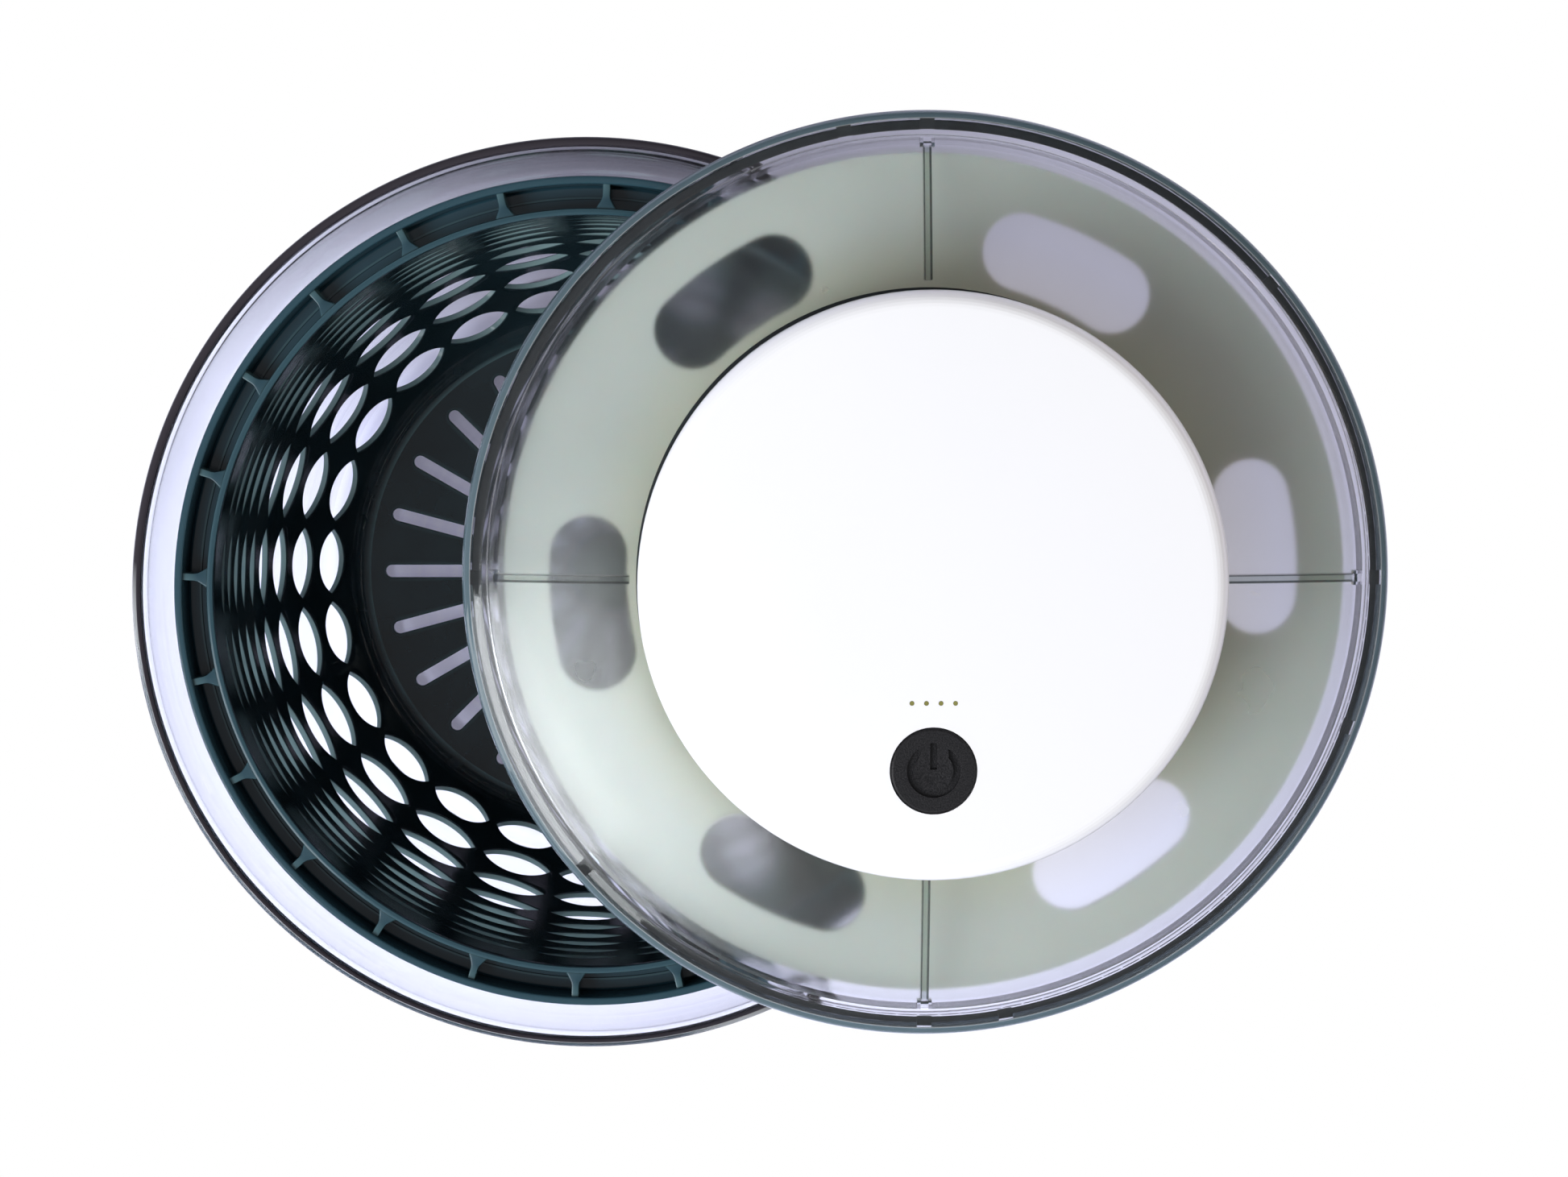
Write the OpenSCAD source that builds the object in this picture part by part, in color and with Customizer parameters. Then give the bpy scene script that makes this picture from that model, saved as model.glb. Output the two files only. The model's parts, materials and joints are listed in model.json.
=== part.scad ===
// Cordless salad spinner: a clear bowl, a slotted basket that turns on a pivot in it, and a smoked lid
// that carries a drive disc below and a motor housing on top. The lid is off the bowl and lies flat
// across its rim, to one side. Millimetres, +Z up. The origin is on the bowl's axis, on the surface
// that it stands on. Lid pieces are drawn about the lid's own axis, with z = 0 where it meets the rim.

/* [Bowl] */
// Outside radius of the bowl's rim
bowl_r = 129; // [128:0.5:132]
// Height of the bowl's rim above the table
bowl_h = 130; // [129:0.5:133]
// Thickness of the bowl's wall and floor
bowl_wall = 2.4; // [2:0.1:2.6]
// Outside radius of the bowl's wall where it turns into the floor
bowl_base_r = 96; // [95:0.5:98]
// Height of the non-slip ring under the bowl
foot_h = 3; // [2.5:0.1:3.2]

/* [Basket] */
// Outside radius of the basket's rim
basket_r = 118.8; // [118:0.1:119]
// Height of the basket's rim above the table
basket_h = 121.5; // [120.5:0.5:122]
// Thickness of the basket's wall
basket_wall = 2; // [1.8:0.1:2.2]
// Width of the open channel between the basket's rim and its wall
channel_w = 6.8; // [6.4:0.1:7]
// Number of slot columns, and of gussets in the channel
columns = 24; // [20:1:26]
// Number of thin slot rows near the top
thin_rows = 5; // [4:1:5]
// Number of taller slot rows below them
tall_rows = 4; // [3:1:4]
// Height of a thin slot
thin_slot_h = 4.2; // [3.6:0.1:4.4]

/* [Lid] */
// Outside radius of the lid
lid_r = 127.8; // [127.4:0.1:128]
// Height of the lid's outer wall
lid_edge_h = 12; // [11.5:0.5:12.5]
// Height of the lid's middle, where the housing stands
lid_top_h = 22.2; // [22:0.1:22.4]
// Thickness of the lid's moulding
lid_wall = 2.2; // [2:0.1:2.4]
// Distance of the lid's axis from the bowl's axis, to the right
lid_dx = 94; // [88:1:98]
// Distance of the lid's axis from the bowl's axis, away from the front
lid_dy = 7; // [-8:0.5:8]

/* [Drive disc] */
// Radius of the disc that turns the basket
disc_r = 116.5; // [116:0.1:116.8]
// Length of the windows in the disc
window_l = 49; // [44:1:52]
// Width of the windows in the disc
window_w = 21.5; // [18:0.5:23]
// Radius of the circle that the windows lie on
window_ring_r = 93.2; // [92:0.2:94]

/* [Housing] */
// Outside radius of the motor housing
housing_r = 78; // [77.6:0.1:78.2]
// Height of the housing's top above the bowl's rim when the lid is on
housing_top = 52.5; // [52.2:0.1:53]
// Radius of the rounded edge round the housing's top
housing_edge_r = 4.5; // [4:0.5:6]
// Thickness of the housing's wall
housing_wall = 2.4; // [2.2:0.1:2.4]
// Distance from the housing's axis to the power button
button_out = 48; // [47:0.5:49]
// Radius of the power button
button_r = 11.2; // [10.5:0.1:11.4]
// Distance from the housing's axis to the row of charge lights
lights_out = 30.2; // [29:0.2:31]

/* [Gear train] */
// Teeth on the motor pinion
pinion_teeth = 12; // [12:1:14]
// Teeth on the idler's large wheel
idler_teeth = 40; // [38:1:40]
// Teeth on the idler's small wheel
idler_pinion_teeth = 14; // [13:1:15]
// Teeth on the output wheel
output_teeth = 42; // [40:1:43]

/* [Hidden] */
$fn = 96;
fit = 0.05;                 // radial running clearance of a shaft in its bore
gap = 0.3;                  // clearance round a moving piece
lap = 0.4;                  // how far joined shapes of one piece reach into each other

// Bowl: heights up its wall
floor_z = foot_h + 2.6;     // top of the bowl's floor
bowl_in_r = bowl_r - 2.6;   // inside radius at the rim
corner_z = 14;              // height where the rounded corner meets the straight wall
bead_z = bowl_h - 5;        // underside of the rim's bead
bowl_bend = 1.4;            // exponent of the wall's curve: the bowl is a little fuller than a cone
foot_in_r = 74;
foot_out_r = 87;
foot_groove = 1;            // how deep the non-slip ring sits in the bowl
pivot_r = 4;
pivot_z = 20;               // top of the pivot that the basket stands on

// Basket
channel_out_r = basket_r - 2.3;
wall_top_r = channel_out_r - channel_w;   // outside of the basket's wall at the top
wall_top_z = basket_h - 0.5;
channel_floor_z = basket_h - 11;
basket_floor_z = 14;        // underside of the basket's floor
floor_t = 2.2;
basket_drop = 28;           // how much narrower the wall is at the floor
bend = 2.6;                 // exponent of the wall's curve: it is steep above and turns in below
bend_steps = 10;
floor_edge_r = wall_top_r - basket_drop - 1.7;   // where the basket's floor meets its wall
slot_bar = 3.6;             // solid strip between two rows of slots
slot_step = 2.2;            // each tall row is this much taller than the one above it
first_slot_z = channel_floor_z - 4.6;
column_turn = -2.5;         // angle of the first column
column_fill = 0.44;         // half of a slot, as a share of the column's angle
floor_slots = 24;
gusset_w = 2.2;

// Lid, at rest: its inner skirt stands on the bowl's rim
skirt_drop = 12;            // how far the skirt reaches below the rim when the lid is on
rest_gap = 0.1;
lid_z = bowl_h + skirt_drop + rest_gap;
lid_in_r = lid_r - 2.6;     // inside of the outer wall
skirt_in_r = 119.6;
skirt_out_r = 121.8;
gasket_out_r = 124.9;
gasket_z0 = 1;
gasket_z1 = 4.6;
fin_z = 7;                  // underside of the fins between the skirt and the outer wall
panel_r = 80;               // the panel is flat inside this radius
panel_bend = 1.25;
ledge_in_r = 61;            // opening in the lid's middle, for the gear case
rib_w = 2.2;
rib_depth = 4;
rib_foot_w = 4;
tab_turn = 40.5;
tab_w = 4;

// Housing and gear case
seal_t = 1;
base_top = lid_top_h + 2.2;
base_r = 73.6;
well_r = 59.8;
well_wall = 2.2;
well_floor = 4;
screw_ring_r = 67;
screw_r = 1.25;
screw_hole_r = 1.7;
head_r = 2.8;
plate_z = 19.5;             // underside of the gearbox plate
plate_t = 2.5;
plate_r = well_r - well_wall - gap;
pillar_ring_r = 52;
pillar_r = 3.2;
bearing_r = 8.5;
bearing_h = 6;
shaft_r = 3;
shaft_bottom = -9;
gear_slack = 0.15;          // added to each pair's centre distance
low_gear_z = 7;             // layer of the motor pinion and the idler's large wheel
high_gear_z = 13;           // layer of the output wheel and the idler's small wheel
gear_t = 4.5;
fine = 0.8;                 // module of the motor pinion and the idler's large wheel
coarse = 1;                 // module of the output pair
axle_r = 2;
idler_y = coarse * (output_teeth + idler_pinion_teeth) / 2 + gear_slack;
motor_dir = 30;             // direction from the idler's axis to the motor's
motor_reach = fine * (pinion_teeth + idler_teeth) / 2 + gear_slack;
motor_x = motor_reach * cos(motor_dir);
motor_y = idler_y + motor_reach * sin(motor_dir);
motor_r = 12.2;
motor_h = 26;
motor_z = plate_z + plate_t;
motor_shaft_r = 1;
motor_screw_out = 8;

// Electronics
cell_r = 9;
cell_l = 65;
cell_x = 42;
cell_z = base_top + 1.6 + cell_r;
board_z = 43.4;
board_t = 1.6;
board_w = 52;
board_l = 42;
board_y = -42;
post_x = 22.5;
post_y = 17.5;
cover_under = housing_top - housing_wall;
button_travel = 0.8;
button_y = -button_out;
lights_y = -lights_out;
sign_out_r = 7;
sign_w = 1.8;
sign_gap = 7.8;
sign_depth = 1.2;
light_pitch = 3.8;
light_r = 0.6;
port_w = 8.9;
port_h = 3.2;
flap_w = 13;
flap_z0 = 28.2;             // underside of the flap's round hinge
hinge_r = 0.9;
flap_z1 = 35;
flap_in_r = housing_r - 1.2;
flap_out_r = housing_r + 0.7;

// ---------- shared shapes ----------

// Copies its children n times round the axis, the first at angle start.
module ring_of(n, start = 0) {
    for (i = [0 : n - 1]) rotate([0, 0, start + i * 360 / n]) children();
}

// A flat tube from z0 to z1.
module tube(r_out, r_in, z0, z1) {
    translate([0, 0, z0]) difference() {
        cylinder(r = r_out, h = z1 - z0);
        translate([0, 0, -1]) cylinder(r = r_in, h = z1 - z0 + 2);
    }
}

module disc(r, z0, z1) {
    translate([0, 0, z0]) cylinder(r = r, h = z1 - z0);
}

// A closed outline in the radius and height plane, turned into a slab t thick along the radius.
module fin(points, t) {
    rotate([90, 0, 0]) linear_extrude(height = t, center = true) polygon(points);
}

// Points of a round corner in a revolved outline.
function corner(cx, cz, r, from, to, steps = 6) =
    [for (i = [0 : steps]) let (a = from + (to - from) * i / steps) [cx + r * cos(a), cz + r * sin(a)]];

// A pan head screw whose head's underside is at z = 0 and whose shank goes up.
module screw_up(shank_r, length, cap_r, cap_h) {
    disc(cap_r, -cap_h, 0);
    disc(shank_r, -lap, length);
}

module place_lid() {
    translate([lid_dx, lid_dy, lid_z]) children();
}

// ---------- bowl ----------

function bowl_out(z) = bowl_r - 1.4
    - (bowl_r - 1.4 - bowl_base_r) * pow((bead_z - z) / (bead_z - corner_z), bowl_bend);

module bowl() {
    outer_corner = corner(bowl_base_r - 11, corner_z, 11, -90, 0);
    inner_corner = corner(bowl_base_r - 11, corner_z, 11 - bowl_wall, 0, -90);
    wall = [for (i = [1 : 9]) corner_z + (bead_z - 3 - corner_z) * i / 9];
    color([0.86, 0.87, 0.93, 0.4]) difference() {
        union() {
            rotate_extrude() polygon(concat(
                [[0, foot_h]], outer_corner, [for (z = wall) [bowl_out(z), z]],
                [[bowl_out(bead_z), bead_z], [bowl_r, bead_z + 1.6], [bowl_r, bowl_h - 0.6],
                 [bowl_r - 0.6, bowl_h], [bowl_in_r + 0.5, bowl_h], [bowl_in_r, bowl_h - 0.5],
                 [bowl_in_r, bead_z + 0.8]],
                [for (i = [8 : -1 : 0]) [bowl_out(wall[i]) - bowl_wall, wall[i]]],
                inner_corner, [[0, floor_z]]));
            disc(9, floor_z - lap, floor_z + 2.6);
            disc(pivot_r, floor_z, pivot_z);
        }
        tube(foot_out_r, foot_in_r, foot_h - 1, foot_h + foot_groove);
    }
}

module foot_ring() {
    color([0.2, 0.21, 0.22]) difference() {
        rotate_extrude() polygon([[foot_in_r, foot_h + foot_groove], [foot_in_r, 0.8],
            [foot_in_r + 0.8, 0], [foot_out_r - 0.8, 0], [foot_out_r, 0.8],
            [foot_out_r, foot_h + foot_groove]]);
        tube((foot_in_r + foot_out_r) / 2 + 1.2, (foot_in_r + foot_out_r) / 2 - 1.2, -1, 1);
    }
}

// ---------- basket ----------

function basket_out(z) = wall_top_r
    - basket_drop * pow((wall_top_z - z) / (wall_top_z - basket_floor_z), bend);
function slot_h(row) = row < thin_rows ? thin_slot_h
    : min(thin_slot_h + (row - thin_rows + 1) * slot_step, thin_slot_h + 3 * slot_step);
function slot_z(row) = row == 0 ? first_slot_z
    : slot_z(row - 1) - (slot_h(row - 1) + slot_h(row)) / 2 - slot_bar;

// A pointed oval: where two equal circles overlap.
module lens(l, h) {
    big_r = l * l / (4 * h) + h / 4;
    intersection() {
        translate([0, big_r - h / 2]) circle(r = big_r);
        translate([0, h / 2 - big_r]) circle(r = big_r);
    }
}

module wall_slots() {
    for (row = [0 : thin_rows + tall_rows - 1]) {
        r = basket_out(slot_z(row));
        l = 2 * r * sin(column_fill * 360 / columns);
        ring_of(columns, column_turn) translate([r - 14, 0, slot_z(row)])
            rotate([90, 0, 90]) linear_extrude(height = 24) lens(l, slot_h(row));
    }
}

module floor_slot(r0, r1, w) {
    translate([0, 0, basket_floor_z - 1]) linear_extrude(height = 5) union() {
        translate([r0, -w / 2]) square([r1 - r0, w]);
        translate([r0, 0]) circle(r = w / 2);
        translate([r1, 0]) circle(r = w / 2);
    }
}

// A gusset across the channel: a thin rib that widens into a wedge at the basket's wall.
module gusset() {
    root = wall_top_r - 1;
    fin([[root, channel_floor_z - lap], [channel_out_r + lap, channel_floor_z - lap],
        [channel_out_r + lap, basket_h - 1.4], [root, wall_top_z - 1]], gusset_w);
    translate([0, 0, channel_floor_z - lap]) linear_extrude(height = wall_top_z - channel_floor_z)
        polygon([[root, -3.6], [root + 4.6, 0], [root, 3.6]]);
}

// Outline of the basket's wall on its outside, from the top down.
function wall_outside() = [for (i = [0 : bend_steps])
    let (z = wall_top_z - (wall_top_z - basket_floor_z) * i / bend_steps) [basket_out(z), z]];

// The basket is one moulding. It is drawn as rim, wall and floor, which meet face to face.
module basket_rim() {
    color([0.12, 0.17, 0.2]) difference() {
        union() {
            rotate_extrude() polygon([[channel_out_r, basket_h - 0.5], [channel_out_r + 0.5, basket_h],
                [basket_r - 0.6, basket_h], [basket_r, basket_h - 0.6], [basket_r, channel_floor_z - 4],
                [channel_out_r, channel_floor_z - 4]]);
            tube(channel_out_r + lap, wall_top_r - 1.2, channel_floor_z - 2, channel_floor_z);
            tube((wall_top_r + channel_out_r) / 2 + 0.4, (wall_top_r + channel_out_r) / 2 - 0.4,
                channel_floor_z - lap, channel_floor_z + 0.6);
            ring_of(columns, column_turn) gusset();
        }
        rotate_extrude() polygon(concat(wall_outside(), [[0, basket_floor_z], [0, wall_top_z]]));
    }
}

module basket_wall() {
    outside = wall_outside();
    inside = [for (i = [bend_steps : -1 : 0]) let (z = max(outside[i][1], basket_floor_z + floor_t))
        [basket_out(z) - basket_wall, z]];
    color([0.12, 0.17, 0.2]) difference() {
        rotate_extrude() polygon(concat(outside, [[floor_edge_r, basket_floor_z],
            [floor_edge_r, basket_floor_z + floor_t]], inside));
        wall_slots();
    }
}

module basket_floor() {
    color([0.12, 0.17, 0.2]) difference() {
        union() {
            disc(floor_edge_r, basket_floor_z, basket_floor_z + floor_t);
            disc(9, floor_z + 3.2, basket_floor_z + 8.5);
        }
        disc(pivot_r + fit, floor_z, pivot_z + fit);
        ring_of(floor_slots) floor_slot(46, 70, 4);
        ring_of(floor_slots / 2) floor_slot(17, 38, 4);
    }
}

// ---------- lid ----------

// Height of the panel's top at radius r.
function panel_top(r) = r <= panel_r ? lid_top_h
    : lid_top_h - (lid_top_h - lid_edge_h) * pow((r - panel_r) / (lid_in_r - panel_r), panel_bend);

module lid_shell() {
    rs = [for (i = [0 : 6]) panel_r + (lid_in_r - panel_r) * i / 6];
    rib_rs = [for (i = [0 : 4]) panel_r + 1 + (skirt_out_r - panel_r - 1) * i / 4];
    color([0.38, 0.44, 0.47, 0.5]) difference() {
        union() {
            rotate_extrude() polygon(concat(
                [[ledge_in_r, lid_top_h - lid_wall], [ledge_in_r, lid_top_h]],
                [for (r = rs) [r, panel_top(r)]],
                [[lid_r - 1.2, lid_edge_h - 0.7], [lid_r - 0.4, lid_edge_h - 2.4], [lid_r, 4],
                 [lid_r, 0.5], [lid_r - 0.5, 0], [lid_in_r + 0.3, 0], [lid_in_r, 0.3],
                 [lid_in_r, lid_edge_h - lid_wall]],
                [for (i = [5 : -1 : 0]) [rs[i], panel_top(rs[i]) - lid_wall]]));
            tube(skirt_out_r, skirt_in_r, -skirt_drop, panel_top(skirt_out_r) - lid_wall + lap);
            ring_of(4) fin(concat(
                [for (r = rib_rs) [r, panel_top(r) - lid_wall / 2]],
                [for (i = [4 : -1 : 0]) [rib_rs[i], panel_top(rib_rs[i]) - lid_wall - rib_depth]]),
                rib_w);
            ring_of(4) fin([[skirt_in_r - 2.4, fin_z + 1.2], [skirt_in_r - 1.2, fin_z],
                [lid_in_r + lap, fin_z], [lid_in_r + lap, lid_edge_h - 1],
                [skirt_in_r - 2.4, lid_edge_h - 0.6]], rib_foot_w);
            ring_of(6, tab_turn) fin([[skirt_out_r - lap, fin_z], [lid_in_r + lap, fin_z],
                [lid_in_r + lap, lid_edge_h - 1], [skirt_out_r - lap, lid_edge_h - 1]], tab_w);
        }
        ring_of(6) translate([screw_ring_r, 0, 0]) disc(screw_hole_r, lid_top_h - 5, lid_top_h + 1);
    }
}

// The splash seal is a rubber ring round the skirt, under the fins, with two soft lips.
module lid_gasket() {
    lip_r = gasket_out_r - 0.5;
    color([0.06, 0.07, 0.08]) rotate_extrude() polygon([[skirt_out_r, gasket_z0], [lip_r, gasket_z0],
        [gasket_out_r, gasket_z0 + 0.5], [gasket_out_r, gasket_z0 + 1], [lip_r, gasket_z0 + 1.5],
        [lip_r, gasket_z1 - 1.2], [gasket_out_r, gasket_z1 - 0.7], [gasket_out_r, gasket_z1 - 0.2],
        [gasket_out_r - 0.2, gasket_z1], [skirt_out_r, gasket_z1]]);
}

// ---------- housing ----------

module housing_seal() {
    color([0.09, 0.09, 0.1]) tube(housing_r + 1, base_r + 0.2, lid_top_h, lid_top_h + seal_t);
}

// Tray under the housing, with a round gear case that hangs through the lid's middle.
module housing_base() {
    color([0.9, 0.9, 0.88]) difference() {
        union() {
            tube(base_r, well_r - well_wall, lid_top_h, base_top);
            tube(well_r, well_r - well_wall, well_floor, lid_top_h + lap);
            disc(well_r - well_wall + lap, well_floor, well_floor + 2);
            disc(bearing_r + 2, well_floor, well_floor + 1.5 + bearing_h);
            translate([0, idler_y, 0]) disc(axle_r + 1.8, well_floor, low_gear_z - 0.3);
            ring_of(4, 45) translate([pillar_ring_r, 0, 0]) disc(pillar_r, well_floor + 1, plate_z);
            for (x = [-6, 6]) translate([x, -62, 0]) disc(2, base_top - lap, base_top + 4);
        }
        disc(bearing_r, well_floor + 1.5, well_floor + 3 + bearing_h);
        disc(bearing_r - 1.5, well_floor - 1, well_floor + 3);
        translate([0, idler_y, 0]) disc(axle_r, well_floor + 0.6, low_gear_z);
        ring_of(4, 45) translate([pillar_ring_r, 0, 0]) disc(screw_r, plate_z - 8, plate_z + 1);
        ring_of(6) translate([screw_ring_r, 0, 0]) disc(screw_hole_r, lid_top_h - 1, base_top + 1);
    }
}

// The white cover: a round dome with a soft top edge, screw bosses and posts for the circuit board.
module housing_cover() {
    foot_z = lid_top_h + seal_t;
    edge = corner(housing_r - 0.4 - housing_edge_r, housing_top - housing_edge_r, housing_edge_r, 0, 90, 8);
    inner_edge = corner(housing_r - 0.4 - housing_edge_r, housing_top - housing_edge_r,
        housing_edge_r - housing_wall, 90, 0);
    color([0.96, 0.96, 0.97]) difference() {
        union() {
            rotate_extrude() polygon(concat([[housing_r, foot_z]], edge,
                [[0, housing_top], [0, cover_under]], inner_edge,
                [[housing_r - housing_wall, foot_z]]));
            ring_of(6) translate([screw_ring_r, 0, 0]) disc(3.6, base_top, cover_under + lap);
            for (x = [-post_x, post_x], y = [-post_y, post_y])
                translate([x, board_y + y, 0]) disc(2.4, board_z + board_t, cover_under + lap);
        }
        ring_of(6) translate([screw_ring_r, 0, 0]) disc(screw_r, base_top - 1, base_top + 14);
        for (x = [-post_x, post_x], y = [-post_y, post_y])
            translate([x, board_y + y, 0]) disc(1, board_z, cover_under - 0.5);
        translate([0, button_y, 0]) disc(button_r + gap, cover_under - 1, housing_top + 1);
        for (i = [0 : 3]) translate([(i - 1.5) * light_pitch, lights_y, 0])
            disc(light_r + fit, cover_under - 1, housing_top + 1);
        translate([-port_w / 2 - 0.6, -housing_r - 1, 29.4]) cube([port_w + 1.2, 4, 4.8]);
        intersection() {
            tube(housing_r + 2, flap_in_r - 0.2, flap_z0 - 2, flap_z1 + 0.4);
            translate([-flap_w / 2 - gap, -housing_r - 3, 0]) cube([flap_w + 2 * gap, 12, housing_top]);
        }
    }
}

module housing_screws() {
    color([0.7, 0.71, 0.73]) ring_of(6) translate([screw_ring_r, 0, lid_top_h - lid_wall])
        screw_up(screw_r, 15, head_r, 1.6);
}

// ---------- gear train ----------

function inv(a) = tan(a) * 180 / PI - a;
// Half of a tooth's angle at radius r, for an involute at 20 degrees with a little play.
function half_tooth(m, teeth, r) = let (rp = m * teeth / 2, rb = rp * cos(20))
    90 / teeth - 0.1 * 180 / PI / rp + inv(20) - inv(acos(rb / max(r, rb)));

// A spur wheel with one tooth centred on the +X axis.
module gear(m, teeth, t) {
    rp = m * teeth / 2;
    radii = [rp - 1.2 * m, rp - 0.5 * m, rp, rp + 0.8 * m];
    linear_extrude(height = t) polygon([for (i = [0 : teeth - 1]) each concat(
        [for (r = radii) let (a = i * 360 / teeth - half_tooth(m, teeth, r)) [r * cos(a), r * sin(a)]],
        [for (k = [3 : -1 : 0]) let (r = radii[k], a = i * 360 / teeth + half_tooth(m, teeth, r))
            [r * cos(a), r * sin(a)]])]);
}

module gearbox_plate() {
    color([0.75, 0.76, 0.78]) difference() {
        union() {
            disc(plate_r, plate_z, plate_z + plate_t);
            disc(bearing_r + 2, plate_z, plate_z + bearing_h + 1.5);
        }
        disc(bearing_r, plate_z - 1, plate_z + bearing_h);
        disc(bearing_r - 1.5, plate_z, plate_z + bearing_h + 3);
        translate([0, idler_y, 0]) disc(axle_r, plate_z - 1, plate_z + plate_t + 1);
        translate([motor_x, motor_y, 0]) {
            disc(4, plate_z - 1, plate_z + plate_t + 1);
            for (x = [-motor_screw_out, motor_screw_out]) translate([x, 0, 0])
                disc(1.3, plate_z - 1, plate_z + plate_t + 1);
        }
        ring_of(4, 45) translate([pillar_ring_r, 0, 0]) disc(1.6, plate_z - 1, plate_z + plate_t + 1);
    }
}

module gearbox_screws() {
    color([0.7, 0.71, 0.73]) ring_of(4, 45) translate([pillar_ring_r, 0, plate_z + plate_t])
        mirror([0, 0, 1]) screw_up(screw_r, 9, head_r, 1.6);
}

module bearing(z) {
    color([0.72, 0.73, 0.75]) tube(bearing_r, shaft_r + fit, z, z + bearing_h);
}

module lower_bearing() {
    bearing(well_floor + 1.5);
}

module upper_bearing() {
    bearing(plate_z);
}

module idler_axle() {
    color([0.7, 0.71, 0.73]) translate([0, idler_y, 0])
        disc(axle_r, well_floor + 0.6, plate_z + plate_t);
}

module idler_gear() {
    color([0.93, 0.92, 0.87]) translate([0, idler_y, 0]) difference() {
        union() {
            translate([0, 0, low_gear_z]) rotate([0, 0, motor_dir]) gear(fine, idler_teeth, gear_t);
            translate([0, 0, low_gear_z + gear_t - lap]) rotate([0, 0, 270 + 180 / idler_pinion_teeth])
                gear(coarse, idler_pinion_teeth, high_gear_z - low_gear_z + lap);
        }
        disc(axle_r + fit, low_gear_z - 1, plate_z);
    }
}

module motor_can() {
    color([0.68, 0.69, 0.7]) translate([motor_x, motor_y, motor_z]) difference() {
        union() {
            disc(motor_r - 0.8, 0, motor_h);
            disc(motor_r, 0.8, motor_h - 0.8);
            disc(4, -1.5, lap);
            disc(5, motor_h - lap, motor_h + 1.4);
        }
        disc(motor_shaft_r + fit, -2, 12);
        for (x = [-motor_screw_out, motor_screw_out]) translate([x, 0, 0]) disc(1.3, -1, 4);
    }
}

module motor_screws() {
    color([0.7, 0.71, 0.73]) for (x = [-motor_screw_out, motor_screw_out])
        translate([motor_x + x, motor_y, plate_z]) screw_up(1.3, plate_t + 3, 2.2, 1);
}

module motor_shaft() {
    color([0.7, 0.71, 0.73]) translate([motor_x, motor_y, 0])
        disc(motor_shaft_r, low_gear_z, motor_z + 11);
}

module motor_pinion() {
    color([0.75, 0.6, 0.3]) translate([motor_x, motor_y, low_gear_z]) difference() {
        rotate([0, 0, motor_dir + 180 + 180 / pinion_teeth]) gear(fine, pinion_teeth, gear_t + 1);
        disc(motor_shaft_r, -1, gear_t + 2);
    }
}

module output_shaft() {
    color([0.7, 0.71, 0.73]) difference() {
        disc(shaft_r, shaft_bottom, plate_z + bearing_h + 0.8);
        disc(1.6, shaft_bottom - 1, shaft_bottom + 10);
    }
}

module output_gear() {
    color([0.93, 0.92, 0.87]) translate([0, 0, high_gear_z]) difference() {
        rotate([0, 0, 90]) gear(coarse, output_teeth, gear_t);
        disc(shaft_r, -1, gear_t + 1);
    }
}

// ---------- drive disc ----------

// Points of an arc in the plan view.
function arc(c, r, from, to, steps) =
    [for (i = [0 : steps]) let (a = from + (to - from) * i / steps) c + r * [cos(a), sin(a)]];

// An arched slot with round ends, centred on the +X side.
module window_shape() {
    half = (window_l - window_w) / 2 / window_ring_r * 180 / PI;
    end_r = window_w / 2;
    end_a = window_ring_r * [cos(half), sin(half)];
    end_b = window_ring_r * [cos(half), -sin(half)];
    polygon(concat(
        arc([0, 0], window_ring_r + end_r, -half, half, 8),
        arc(end_a, end_r, half + 15, half + 165, 10),
        arc([0, 0], window_ring_r - end_r, half, -half, 8),
        arc(end_b, end_r, 195 - half, 345 - half, 10)));
}

// The milky disc that turns the basket: lugs on its underside reach between the basket's gussets.
module drive_disc() {
    color([0.92, 0.93, 0.92]) difference() {
        union() {
            disc(disc_r, -2.2, 0);
            tube(disc_r, disc_r - 1.8, -5, -2);
            tube(35.5, 33, -11.6, -2);
            disc(8.5, shaft_bottom, 2.8);
            ring_of(6, 34.9) translate([110.6, -2.5, -11.6]) cube([4, 5, 9.8]);
            ring_of(6, 34.9) fin([[8, -2], [33.4, -2], [33.4, -8], [8, -8]], 2);
        }
        disc(shaft_r, shaft_bottom - 1, 4);
        ring_of(6, 4.9) translate([0, 0, -3]) linear_extrude(height = 4) window_shape();
    }
}

module disc_screw() {
    color([0.7, 0.71, 0.73]) translate([0, 0, shaft_bottom]) screw_up(1.6, 9, 5, 1.8);
}

// ---------- electronics ----------

module battery_cell(side) {
    color([0.2, 0.45, 0.62]) translate([side * cell_x, -cell_l / 2, cell_z]) rotate([-90, 0, 0]) {
        disc(cell_r, 0, cell_l - 1);
        disc(3, cell_l - 1 - lap, cell_l);
    }
}

module battery_cell_left() {
    battery_cell(-1);
}

module battery_cell_right() {
    battery_cell(1);
}

module battery_cradles() {
    color([0.12, 0.12, 0.13]) for (side = [-1, 1]) difference() {
        translate([side * cell_x - 10, -30, base_top]) cube([20, 60, 7]);
        translate([side * cell_x, -40, cell_z]) rotate([-90, 0, 0]) cylinder(r = cell_r, h = 80);
    }
}

module circuit_board() {
    color([0.1, 0.38, 0.25]) difference() {
        translate([-board_w / 2, board_y - board_l / 2 + 1, board_z]) cube([board_w, board_l - 1, board_t]);
        for (x = [-post_x, post_x], y = [-post_y, post_y])
            translate([x, board_y + y, 0]) disc(1.1, board_z - 1, board_z + board_t + 1);
    }
}

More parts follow.
